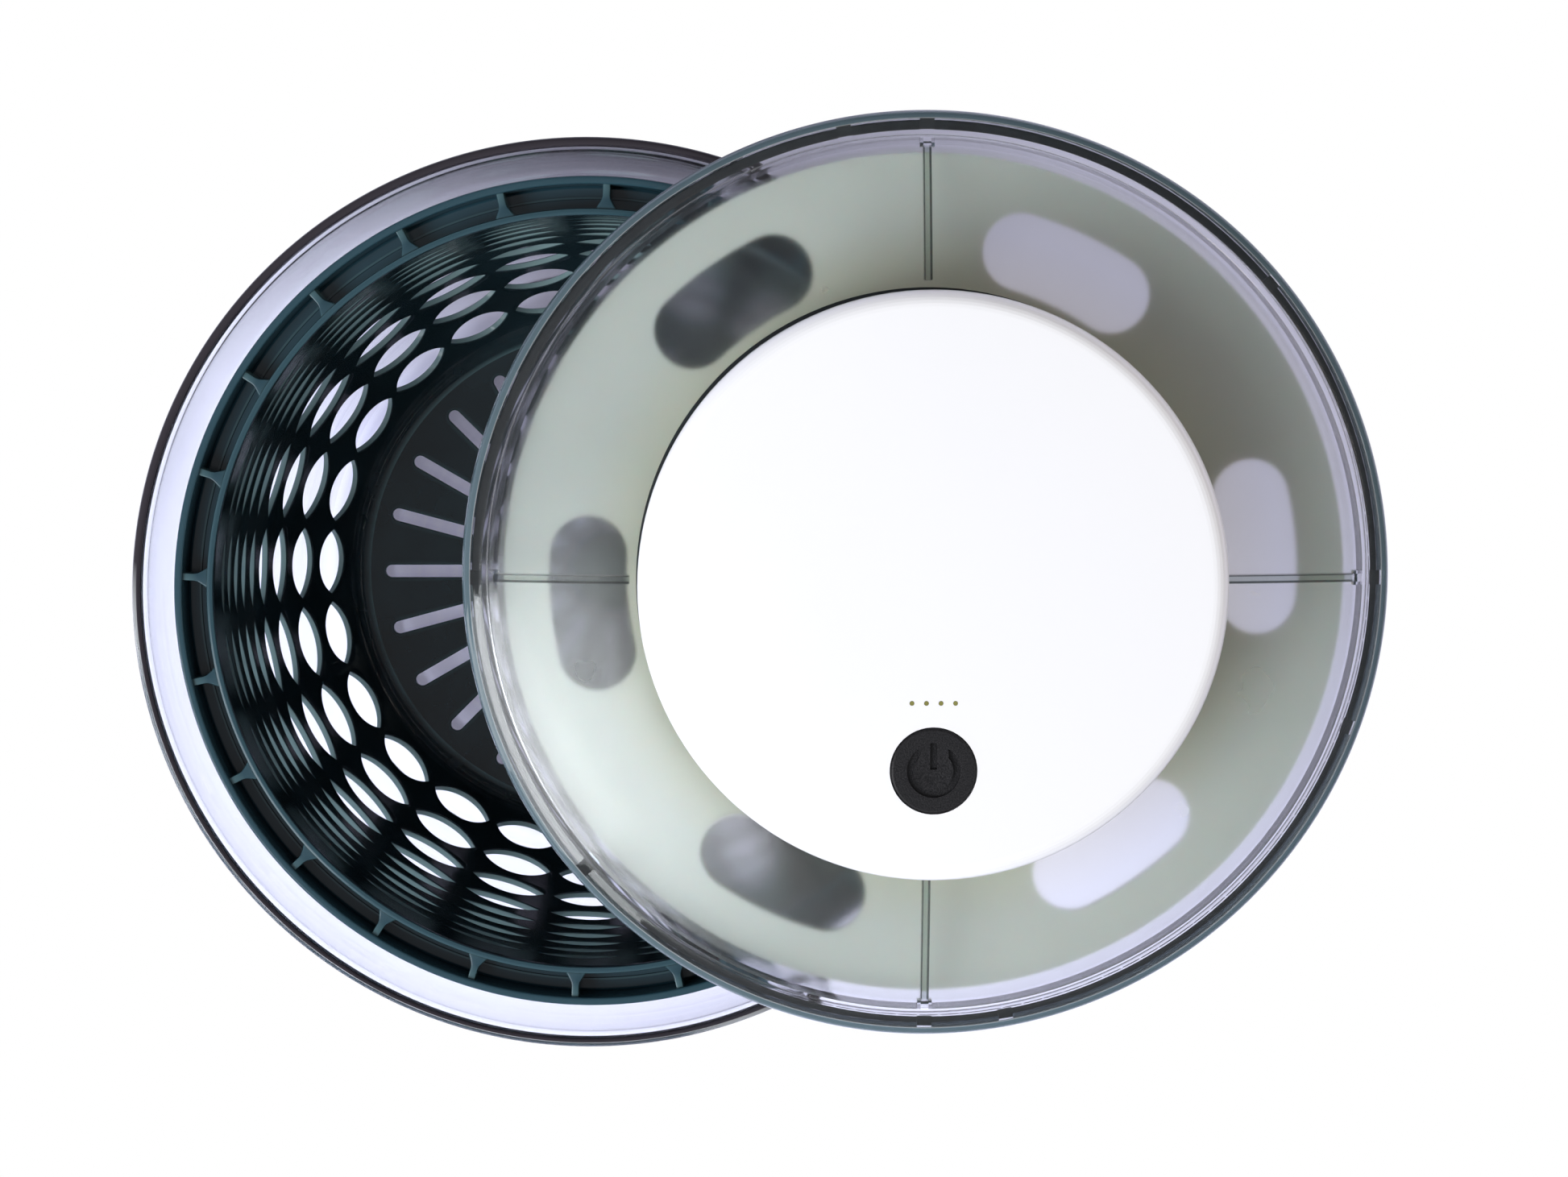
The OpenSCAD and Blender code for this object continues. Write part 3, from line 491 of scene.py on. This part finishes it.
def black_plastic():
    """Spark-eroded black: a fine even grain that breaks up the light."""
    g = Graph("black_plastic")
    grain = g.noise(2600, 3)
    g.link(g.blend(g.span(grain, 0.35, 0.65, 0, 1), (0.003, 0.003, 0.004), (0.018, 0.017, 0.019)),
           g.shader.inputs["Base Color"])
    g.link(g.span(grain, 0.3, 0.7, 0.32, 0.55), g.shader.inputs["Roughness"])
    g.set(IOR=1.42)
    g.bump(grain, 0.5, 0.0003)
    return g.mat


def rubber(name, low, high, rough):
    """Dull rubber with a fine bloom."""
    g = Graph(name)
    g.link(g.blend(g.span(g.noise(240, 4), 0.3, 0.7, 0, 1), low, high), g.shader.inputs["Base Color"])
    g.link(g.span(g.noise(90, 3), 0.3, 0.7, rough - 0.08, rough + 0.1), g.shader.inputs["Roughness"])
    g.bump(g.noise(1500, 2), 0.2, 0.0002)
    return g.mat


def metal(name, colour, rough, stretch):
    """Turned or rolled metal, with fine marks that run one way."""
    g = Graph(name)
    marks = g.noise(900, 3, stretch)
    g.link(g.blend(g.span(g.noise(60, 4), 0.3, 0.7, 0, 1), tuple(0.86 * c for c in colour), colour),
           g.shader.inputs["Base Color"])
    g.link(g.span(marks, 0.3, 0.7, rough - 0.08, rough + 0.1), g.shader.inputs["Roughness"])
    g.set(Metallic=1.0)
    g.bump(marks, 0.12, 0.0002)
    return g.mat


def moulded(name, low, high, rough):
    """Plain moulded or lacquered pieces, faintly uneven in colour and gloss."""
    g = Graph(name)
    g.link(g.blend(g.span(g.noise(80, 4), 0.3, 0.7, 0, 1), low, high), g.shader.inputs["Base Color"])
    g.link(g.span(g.noise(150, 3), 0.3, 0.7, rough - 0.06, rough + 0.08), g.shader.inputs["Roughness"])
    g.bump(g.noise(700, 2), 0.08, 0.0003)
    return g.mat


MATERIALS = {
    "clear_plastic": clear_plastic(),
    "dark_plastic": petrol_plastic(),
    "smoked_plastic": smoked_plastic(),
    "milky_plastic": milky_plastic(),
    "white_plastic": white_plastic(),
    "black_plastic": black_plastic(),
    "seal_rubber": rubber("seal_rubber", (0.002, 0.004, 0.005), (0.005, 0.008, 0.010), 0.6),
    "foot_rubber": rubber("foot_rubber", (0.04, 0.042, 0.045), (0.07, 0.072, 0.075), 0.6),
    "steel": metal("steel", (0.62, 0.63, 0.65), 0.28, (1, 1, 0.05)),
    "plate_aluminium": metal("plate_aluminium", (0.78, 0.79, 0.80), 0.36, (0.05, 1, 1)),
    "brass": metal("brass", (0.78, 0.58, 0.26), 0.3, (1, 1, 0.05)),
    "gear_plastic": moulded("gear_plastic", (0.80, 0.78, 0.70), (0.87, 0.86, 0.79), 0.4),
    "cell_wrap": moulded("cell_wrap", (0.03, 0.16, 0.34), (0.05, 0.22, 0.42), 0.2),
    "board_green": moulded("board_green", (0.01, 0.12, 0.06), (0.02, 0.17, 0.09), 0.3),
    "light_clear": moulded("light_clear", (0.16, 0.15, 0.04), (0.24, 0.23, 0.08), 0.25),
}


# ---------- CAD pieces ----------

def dress_cad_pieces():
    slot_of = {s["node"]: s["material_slot"] for s in frame["record"]["subparts"]}
    for name, piece in NODES.items():
        piece.data.materials.clear()
        piece.data.materials.append(MATERIALS[slot_of[name]])
        for polygon in piece.data.polygons:
            polygon.use_smooth = True
        piece.data.set_sharp_from_angle(angle=math.radians(32))


dress_cad_pieces()


# ---------- finer meshes for the moulded shells ----------

def new_object(name, bm, slot, body, replaces):
    """Turns a mesh drawn in millimetres into an object that rides with a body of the frame."""
    bmesh.ops.remove_doubles(bm, verts=bm.verts, dist=0.002)
    bmesh.ops.recalc_face_normals(bm, faces=bm.faces)
    bmesh.ops.scale(bm, vec=(MM, MM, MM), verts=bm.verts)
    mesh = bpy.data.meshes.new(name)
    bm.to_mesh(mesh)
    bm.free()
    for polygon in mesh.polygons:
        polygon.use_smooth = True
    mesh.set_sharp_from_angle(angle=math.radians(34))
    mesh.materials.append(MATERIALS[slot])
    made = bpy.data.objects.new(name, mesh)
    bpy.context.scene.collection.objects.link(made)
    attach(made, body)
    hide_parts(*replaces)
    return made


def at(r, angle, z):
    """The point at a radius, an angle and a height."""
    return Vector((r * math.cos(angle), r * math.sin(angle), z))


def bridge(bm, loop_a, loop_b, closed=True):
    """Quads between two rows of vertices of equal length."""
    count = len(loop_a)
    for i in range(count if closed else count - 1):
        j = (i + 1) % count
        bm.faces.new((loop_a[i], loop_a[j], loop_b[j], loop_b[i]))


def revolve(bm, profile, steps, phase=0.0, closed=False):
    """Turns a row of (radius, height) points round the Z axis. A point on the axis becomes a fan."""
    rings = []
    for r, z in profile:
        if r < 1e-6:
            rings.append([bm.verts.new((0, 0, z))])
        else:
            rings.append([bm.verts.new(at(r, phase + TAU * i / steps, z)) for i in range(steps)])
    pairs = list(zip(rings, rings[1:]))
    if closed:
        pairs.append((rings[-1], rings[0]))
    for a, b in pairs:
        if len(a) == 1 and len(b) == 1:
            continue
        if len(a) == 1 or len(b) == 1:
            tip, ring = (a[0], b) if len(a) == 1 else (b[0], a)
            for i in range(steps):
                bm.faces.new((tip, ring[i], ring[(i + 1) % steps]))
        else:
            bridge(bm, a, b)


def fillet(cx, cz, r, start, stop, steps=5):
    """Points of a round corner in a profile, angles in degrees."""
    angles = [math.radians(start + (stop - start) * i / steps) for i in range(steps + 1)]
    return [(cx + r * math.cos(a), cz + r * math.sin(a)) for a in angles]


# ---------- bowl ----------

BOWL_BASE_R, BOWL_CORNER_Z, BOWL_CORNER_R = 96, 14, 11
BOWL_BEAD_Z = BOWL_H - 5
BOWL_WALL = 2.4
BOWL_UNDER = BOWL_LOW.z / MM
BOWL_FLOOR = BOWL_UNDER + 2.6
PIVOT_R, PIVOT_TOP = 4, 20


def bowl_out(z):
    """Radius of the bowl wall's outer face at height z."""
    rise = (BOWL_BEAD_Z - z) / (BOWL_BEAD_Z - BOWL_CORNER_Z)
    return BOWL_R - 1.4 - (BOWL_R - 1.4 - BOWL_BASE_R) * max(rise, 0) ** 1.4


def build_bowl():
    corner_r = BOWL_BASE_R - BOWL_CORNER_R
    steps = 30
    heights = [BOWL_CORNER_Z + (BOWL_BEAD_Z - BOWL_CORNER_Z) * i / steps for i in range(1, steps)]
    outside = [(bowl_out(z), z) for z in heights]
    inside = [(bowl_out(z) - BOWL_WALL + 0.9 * max(1 - (BOWL_BEAD_Z - z) / 25, 0), z)
              for z in reversed(heights)]
    profile = [(0, BOWL_UNDER), (73.4, BOWL_UNDER), (74, BOWL_UNDER + 0.3), (74, 4), (87, 4), (87, 3.3)]
    profile += fillet(corner_r, BOWL_CORNER_Z, BOWL_CORNER_R, -76, 0, 12)
    profile += outside
    profile += [(BOWL_R - 1.4, BOWL_BEAD_Z), (BOWL_R - 1.1, BOWL_BEAD_Z + 0.5),
                (BOWL_R - 0.4, BOWL_BEAD_Z + 1.2)]
    profile += [(BOWL_R, BOWL_BEAD_Z + 1.9)]
    profile += fillet(BOWL_R - 1.2, BOWL_H - 1.2, 1.2, 0, 90)
    profile += fillet(BOWL_R - 1.6, BOWL_H - 1, 1, 90, 180)
    profile += [(BOWL_R - 2.6, BOWL_BEAD_Z + 1.4), (BOWL_R - 2.85, BOWL_BEAD_Z + 0.2)]
    profile += inside
    profile += fillet(corner_r, BOWL_CORNER_Z, BOWL_CORNER_R - BOWL_WALL, 0, -90, 12)
    profile += [(11, BOWL_FLOOR), (9.6, BOWL_FLOOR + 0.3), (9, BOWL_FLOOR + 1), (9, BOWL_FLOOR + 2.2),
                (8.6, BOWL_FLOOR + 2.6), (5, BOWL_FLOOR + 2.6), (4.2, BOWL_FLOOR + 2.9),
                (PIVOT_R, BOWL_FLOOR + 3.6), (PIVOT_R, PIVOT_TOP - 0.8), (PIVOT_R - 0.8, PIVOT_TOP),
                (0, PIVOT_TOP)]
    bm = bmesh.new()
    revolve(bm, profile, 256)
    new_object("bowl_fine", bm, "clear_plastic", "bowl_body", ["bowl"])


# ---------- basket ----------

COLUMNS = 24
COLUMN_TURN = math.radians(-2.5)
CELL = TAU / COLUMNS
SLOT_HALF = 0.44 * CELL
THIN_ROWS, TALL_ROWS = 5, 4
THIN_H, SLOT_STEP, SLOT_BAR = 4.2, 2.2, 3.6
ARC_STEPS, SIDE_STEPS = 14, 6
TURN_STEPS = COLUMNS * ARC_STEPS


def basket_out(z):
    """Radius of the basket wall's outer face at height z."""
    return WALL_TOP_R - WALL_DROP * (max(WALL_TOP_Z - z, 0) / (WALL_TOP_Z - FLOOR_Z)) ** WALL_BEND


def slot_rows():
    """(middle height, slot height) of each row, from the top."""
    rows = []
    middle_z, last = CHANNEL_Z - 4.6, THIN_H
    for row in range(THIN_ROWS + TALL_ROWS):
        height = THIN_H + SLOT_STEP * min(max(row - THIN_ROWS + 1, 0), 3)
        if row:
            middle_z -= (last + height) / 2 + SLOT_BAR
        rows.append((middle_z, height))
        last = height
    return rows


def lens_outline(half_l, half_h):
    """A pointed oval: its lower arc from the left tip to the right one, then its upper arc back."""
    big_r = (half_l ** 2 + half_h ** 2) / (2 * half_h)
    count = ARC_STEPS + SIDE_STEPS
    arc = []
    for i in range(count):
        u = -half_l * math.cos(math.pi * i / count)
        arc.append((u, math.sqrt(max(big_r ** 2 - u ** 2, 0)) - (big_r - half_h)))
    points = [(u, -v) for u, v in arc] + [(-u, v) for u, v in arc]
    shift = SIDE_STEPS // 2
    return points[shift:] + points[:shift]


def box_outline(half_u, low, high):
    """The cell round a slot, with its points in the same order as the slot's own."""
    points = [(-half_u + 2 * half_u * i / ARC_STEPS, low) for i in range(ARC_STEPS)]
    points += [(half_u, low + (high - low) * i / SIDE_STEPS) for i in range(SIDE_STEPS)]
    points += [(half_u - 2 * half_u * i / ARC_STEPS, high) for i in range(ARC_STEPS)]
    points += [(-half_u, high + (low - high) * i / SIDE_STEPS) for i in range(SIDE_STEPS)]
    return points


def mix_outlines(a, b, share):
    return [(p[0] + (q[0] - p[0]) * share, p[1] + (q[1] - p[1]) * share) for p, q in zip(a, b)]


def build_slot_cell(bm, column, middle_z, height, low, high):
    """One slot and the wall round it: outside, through the slot's side, and inside."""
    turn = COLUMN_TURN + column * CELL
    radius = basket_out(middle_z)
    half_l = radius * SLOT_HALF
    cell = box_outline(CELL / 2 * radius, low - middle_z, high - middle_z)
    slot = lens_outline(half_l, height / 2)
    rim = lens_outline(half_l + 2 * EDGE, height / 2 + EDGE)
    rows = ((cell, 0), (mix_outlines(cell, rim, 0.6), 0), (rim, 0), (slot, EDGE),
            (slot, WALL_T - EDGE), (rim, WALL_T), (mix_outlines(cell, rim, 0.6), WALL_T), (cell, WALL_T))
    loops = []
    for outline, depth in rows:
        loops.append([bm.verts.new(at(basket_out(middle_z + v) - depth, turn + u / radius, middle_z + v))
                      for u, v in outline])
    for a, b in zip(loops, loops[1:]):
        bridge(bm, a, b)


def build_basket_wall(bm):
    rows = slot_rows()
    tops = [rows[0][0] + rows[0][1] / 2 + SLOT_BAR / 2]
    for (z0, h0), (z1, h1) in zip(rows, rows[1:]):
        tops.append((z0 - h0 / 2 + z1 + h1 / 2) / 2)
    tops.append(rows[-1][0] - rows[-1][1] / 2 - SLOT_BAR / 2)
    for (middle_z, height), high, low in zip(rows, tops, tops[1:]):
        for column in range(COLUMNS):
            build_slot_cell(bm, column, middle_z, height, low, high)
    phase = COLUMN_TURN - CELL / 2
    top = tops[0]
    heights = [top + (WALL_TOP_Z - 0.8 - top) * i / 5 for i in range(6)]
    lip = [(basket_out(z), z) for z in heights]
    lip += [(WALL_TOP_R - 0.25, WALL_TOP_Z - 0.2), (WALL_TOP_R - 0.8, WALL_TOP_Z)]
    lip += [(WALL_TOP_R - WALL_T + 0.8, WALL_TOP_Z), (WALL_TOP_R - WALL_T + 0.25, WALL_TOP_Z - 0.2)]
    lip += [(basket_out(z) - WALL_T, z) for z in reversed(heights)]
    revolve(bm, lip, TURN_STEPS, phase)
    bottom = tops[-1]
    foot_out = basket_out(FLOOR_Z)
    foot = [(basket_out(bottom), bottom), (basket_out(bottom - 3), bottom - 3),
            (foot_out + 0.1, FLOOR_Z + 0.6), (foot_out - 0.9, FLOOR_Z), (foot_out - 5, FLOOR_Z),
            (foot_out - 5, FLOOR_Z + FLOOR_T), (foot_out - 2.4, FLOOR_Z + FLOOR_T + 0.2),
            (basket_out(bottom - 2) - WALL_T, bottom - 2), (basket_out(bottom) - WALL_T, bottom)]
    revolve(bm, foot, TURN_STEPS, phase)


def build_channel(bm):
    """The basket's outer rim and the channel's floor, with the fine line moulded along its middle."""
    mid = (WALL_TOP_R + CHANNEL_OUT_R) / 2
    profile = fillet(BASKET_R - 0.5, CHANNEL_Z - 3.5, 0.5, -90, 0, 3)
    profile += fillet(BASKET_R - 0.8, BASKET_H - 0.8, 0.8, 0, 90, 4)
    profile += fillet(CHANNEL_OUT_R + 0.7, BASKET_H - 0.7, 0.7, 90, 180, 4)
    profile += fillet(CHANNEL_OUT_R - 0.9, CHANNEL_Z + 0.9, 0.9, 0, -90, 4)
    profile += [(mid + 0.4, CHANNEL_Z), (mid + 0.3, CHANNEL_Z + 0.6), (mid - 0.3, CHANNEL_Z + 0.6),
                (mid - 0.4, CHANNEL_Z), (WALL_TOP_R - 1, CHANNEL_Z), (WALL_TOP_R - 1, CHANNEL_Z - 2),
                (CHANNEL_OUT_R, CHANNEL_Z - 2), (CHANNEL_OUT_R, CHANNEL_Z - 4)]
    revolve(bm, profile, TURN_STEPS, 0, True)


def build_gusset(bm, turn):
    """A rib across the channel. It widens into a wedge at the wall, and its top edge is softened."""
    root, out = WALL_TOP_R - 1, CHANNEL_OUT_R + 0.4
    half, wedge = 1.05, 3.5
    side = [(root, wedge), (root + 1.3, wedge - 0.9), (root + 2.7, half + 0.75), (root + 3.7, half + 0.2),
            (root + 4.6, half), (out, half)]
    outline = side + [(x, -y) for x, y in reversed(side)]
    top = WALL_TOP_Z - 0.9
    spin = Matrix.Rotation(turn, 3, "Z")
    loops = []
    for z, shrink in ((CHANNEL_Z - 0.4, 1.08), (top - 0.45, 1.0), (top - 0.12, 0.88), (top, 0.66)):
        loops.append([bm.verts.new(spin @ Vector((x, y * shrink, z))) for x, y in outline])
    for a, b in zip(loops, loops[1:]):
        bridge(bm, a, b)
    half_count = len(side)
    for end in (loops[0], loops[-1]):
        for i in range(half_count - 1):
            bm.faces.new((end[i], end[i + 1], end[-i - 2], end[-i - 1]))


def build_floor_ring(bm, cells, arc_steps, r_in, r_out, slot_in, slot_out, slot_w):
    """Part of the basket's floor with one long slot in each cell."""
    sides = 8
    half_a = math.pi / cells
    half_w = slot_w / 2

    def cell_outline():
        arc = [-half_a + 2 * half_a * i / arc_steps for i in range(arc_steps)]
        points = [at(r_out, a, 0) for a in arc]
        points += [at(r_out + (r_in - r_out) * i / sides, half_a, 0) for i in range(sides)]
        points += [at(r_in, -a, 0) for a in arc]
        points += [at(r_in + (r_out - r_in) * i / sides, -half_a, 0) for i in range(sides)]
        return points

    def slot_outline(grow):
        w = half_w + grow
        arc = [-math.pi / 2 + math.pi * i / arc_steps for i in range(arc_steps)]
        points = [Vector((slot_out + w * math.cos(a), w * math.sin(a), 0)) for a in arc]
        points += [Vector((slot_out + (slot_in - slot_out) * i / sides, w, 0)) for i in range(sides)]
        points += [Vector((slot_in - w * math.cos(a), -w * math.sin(a), 0)) for a in arc]
        points += [Vector((slot_in + (slot_out - slot_in) * i / sides, -w, 0)) for i in range(sides)]
        return points

    cell, rim, slot = cell_outline(), slot_outline(EDGE), slot_outline(0)
    between = [p.lerp(q, 0.6) for p, q in zip(cell, rim)]
    low, high = FLOOR_Z + 0.04, FLOOR_Z + FLOOR_T - 0.04
    rows = ((cell, low), (between, low), (rim, low), (slot, low + EDGE), (slot, high - EDGE),
            (rim, high), (between, high), (cell, high))
    for k in range(cells):
        spin = Matrix.Rotation(TAU * k / cells, 3, "Z")
        loops = [[bm.verts.new(spin @ Vector((p.x, p.y, z))) for p in outline] for outline, z in rows]
        for a, b in zip(loops, loops[1:]):
            bridge(bm, a, b)


def build_basket():
    bm = bmesh.new()
    build_basket_wall(bm)
    build_channel(bm)
    for k in range(COLUMNS):
        build_gusset(bm, COLUMN_TURN + k * CELL)
    edge_r, ring_r, hub_r = 76, 42, 12
    phase = -CELL / 2
    low, high = FLOOR_Z + 0.04, FLOOR_Z + FLOOR_T - 0.04
    build_floor_ring(bm, 24, ARC_STEPS, ring_r, edge_r, 46, 70, 4)
    build_floor_ring(bm, 12, 2 * ARC_STEPS, hub_r, ring_r, 17, 38, 4)
    revolve(bm, [(edge_r, low), (80, low), (80, high), (edge_r, high)], TURN_STEPS, phase)
    revolve(bm, [(hub_r, high), (7, high), (7, low), (hub_r, low)], TURN_STEPS, phase)
    bore = PIVOT_R + 0.05
    hub = [(bore, 9.2), (bore + 0.4, 8.8), (8.4, 8.8), (9, 9.4), (9, FLOOR_Z + FLOOR_T),
           (9, 21.5), (8, 22.5), (0, 22.5), (0, PIVOT_TOP + 0.05), (bore, PIVOT_TOP + 0.05)]
    revolve(bm, hub, 96, 0, True)
    stand_ins_for = ["basket_rim", "basket_wall", "basket_floor"]
    new_object("basket_fine", bm, "dark_plastic", "basket_body", stand_ins_for)


# ---------- lid ----------

FIN_Z = 7  # underside of the fins between the skirt and the outer wall
TAB_TURN = math.radians(40.5)


def panel_top(r):
    """Height of the panel's upper face at radius r."""
    out = max(r - PANEL_FLAT_R, 0) / (LID_IN_R - PANEL_FLAT_R)
    return LID_TOP_H - (LID_TOP_H - LID_EDGE_H) * out ** PANEL_BEND


def spread(first, last, count):
    """Evenly spaced numbers from first to last."""
    return [first + (last - first) * i / (count - 1) for i in range(count)]


def build_fins(profile, width, turns):
    """Upright plates drawn as (radius, height) outlines, one in each direction."""
    bm = bmesh.new()
    for turn in turns:
        spin = Matrix.Rotation(turn, 3, "Z")
        sides = []
        for y in (-width / 2, width / 2):
            sides.append([bm.verts.new(spin @ Vector((r, y, z))) for r, z in profile])
        bridge(bm, *sides)
        bm.faces.new(sides[0])
        bm.faces.new(reversed(sides[1]))
    bmesh.ops.recalc_face_normals(bm, faces=bm.faces)
    return bm


def scratch_object(bm):
    mesh = bpy.data.meshes.new("scratch")
    bm.to_mesh(mesh)
    bm.free()
    made = bpy.data.objects.new("scratch", mesh)
    bpy.context.scene.collection.objects.link(made)
    return made


def union(base, parts):
    """Makes one mesh from a shell and the parts that grow out of it."""
    whole = scratch_object(base)
    for part in parts:
        other = scratch_object(part)
        modifier = whole.modifiers.new("join", "BOOLEAN")
        modifier.operation = "UNION"
        modifier.solver = "EXACT"
        modifier.object = other
        done = bpy.data.meshes.new_from_object(whole.evaluated_get(bpy.context.evaluated_depsgraph_get()))
        whole.modifiers.clear()
        whole.data = done
        bpy.data.objects.remove(other)
    bm = bmesh.new()
    bm.from_mesh(whole.data)
    bpy.data.objects.remove(whole)
    return bm


def build_lid():
    """Panel, outer wall and skirt in one turned shell, joined with four ribs, four fins and six tabs."""
    hole_r, edge = 61, LID_EDGE_H

    def underside(first, last, count):
        return [(r, panel_top(r) - LID_WALL) for r in spread(first, last, count)]

    profile = [(hole_r, panel_top(0) - LID_WALL), (hole_r, panel_top(0) - 0.3), (hole_r + 0.3, panel_top(0))]
    profile += [(r, panel_top(r)) for r in spread(PANEL_FLAT_R, LID_IN_R, 26)]
    profile += [(LID_R - 1.9, edge - 0.25), (LID_R - 1.2, edge - 0.75), (LID_R - 0.75, edge - 1.5),
                (LID_R - 0.4, edge - 2.6), (LID_R - 0.15, edge - 4.5), (LID_R, edge - 7), (LID_R, 0.6),
                (LID_R - 0.2, 0.15), (LID_R - 0.6, 0), (LID_IN_R + 0.4, 0), (LID_IN_R, 0.4)]
    profile += underside(LID_IN_R, SKIRT_OUT_R, 4)
    profile += fillet(SKIRT_OUT_R - 0.7, 0.7 - SKIRT_DROP, 0.7, 0, -90)
    profile += fillet(SKIRT_IN_R + 0.7, 0.7 - SKIRT_DROP, 0.7, -90, -180)
    profile += underside(SKIRT_IN_R, PANEL_FLAT_R, 22)
    shell = bmesh.new()
    revolve(shell, profile, 288, 0, True)
    bmesh.ops.recalc_face_normals(shell, faces=shell.faces)

    rs = spread(PANEL_FLAT_R + 1, SKIRT_OUT_R, 12)
    rib = [(r, panel_top(r) - LID_WALL / 2) for r in rs]
    rib += [(r, panel_top(r) - LID_WALL - RIB_DEPTH) for r in reversed(rs)]
    foot = [(SKIRT_IN_R - 2.4, FIN_Z + 1.2), (SKIRT_IN_R - 1.2, FIN_Z), (LID_IN_R + 0.1, FIN_Z),
            (LID_IN_R + 0.1, edge - 1), (SKIRT_IN_R - 2.4, edge - 0.6)]
    tab = [(SKIRT_OUT_R - 0.1, FIN_Z), (LID_IN_R + 0.1, FIN_Z), (LID_IN_R + 0.1, edge - 1),
           (SKIRT_OUT_R - 0.1, edge - 1)]
    quarters = [TAU * k / 4 for k in range(4)]
    sixths = [TAB_TURN + TAU * k / 6 for k in range(6)]
    bm = union(shell, (build_fins(rib, RIB_W, quarters), build_fins(foot, 4, quarters),
                       build_fins(tab, 4, sixths)))
    bmesh.ops.translate(bm, vec=LID / MM, verts=bm.verts)
    new_object("lid_fine", bm, "smoked_plastic", "lid_body", ["lid_shell"])


build_bowl()
build_basket()
build_lid()

scene = bpy.context.scene
scene.view_settings.view_transform = "Standard"
scene.cycles.use_denoising = True
scene.cycles.max_bounces = 16
scene.cycles.transmission_bounces = 14
scene.cycles.transparent_max_bounces = 24
scene.cycles.caustics_reflective = False
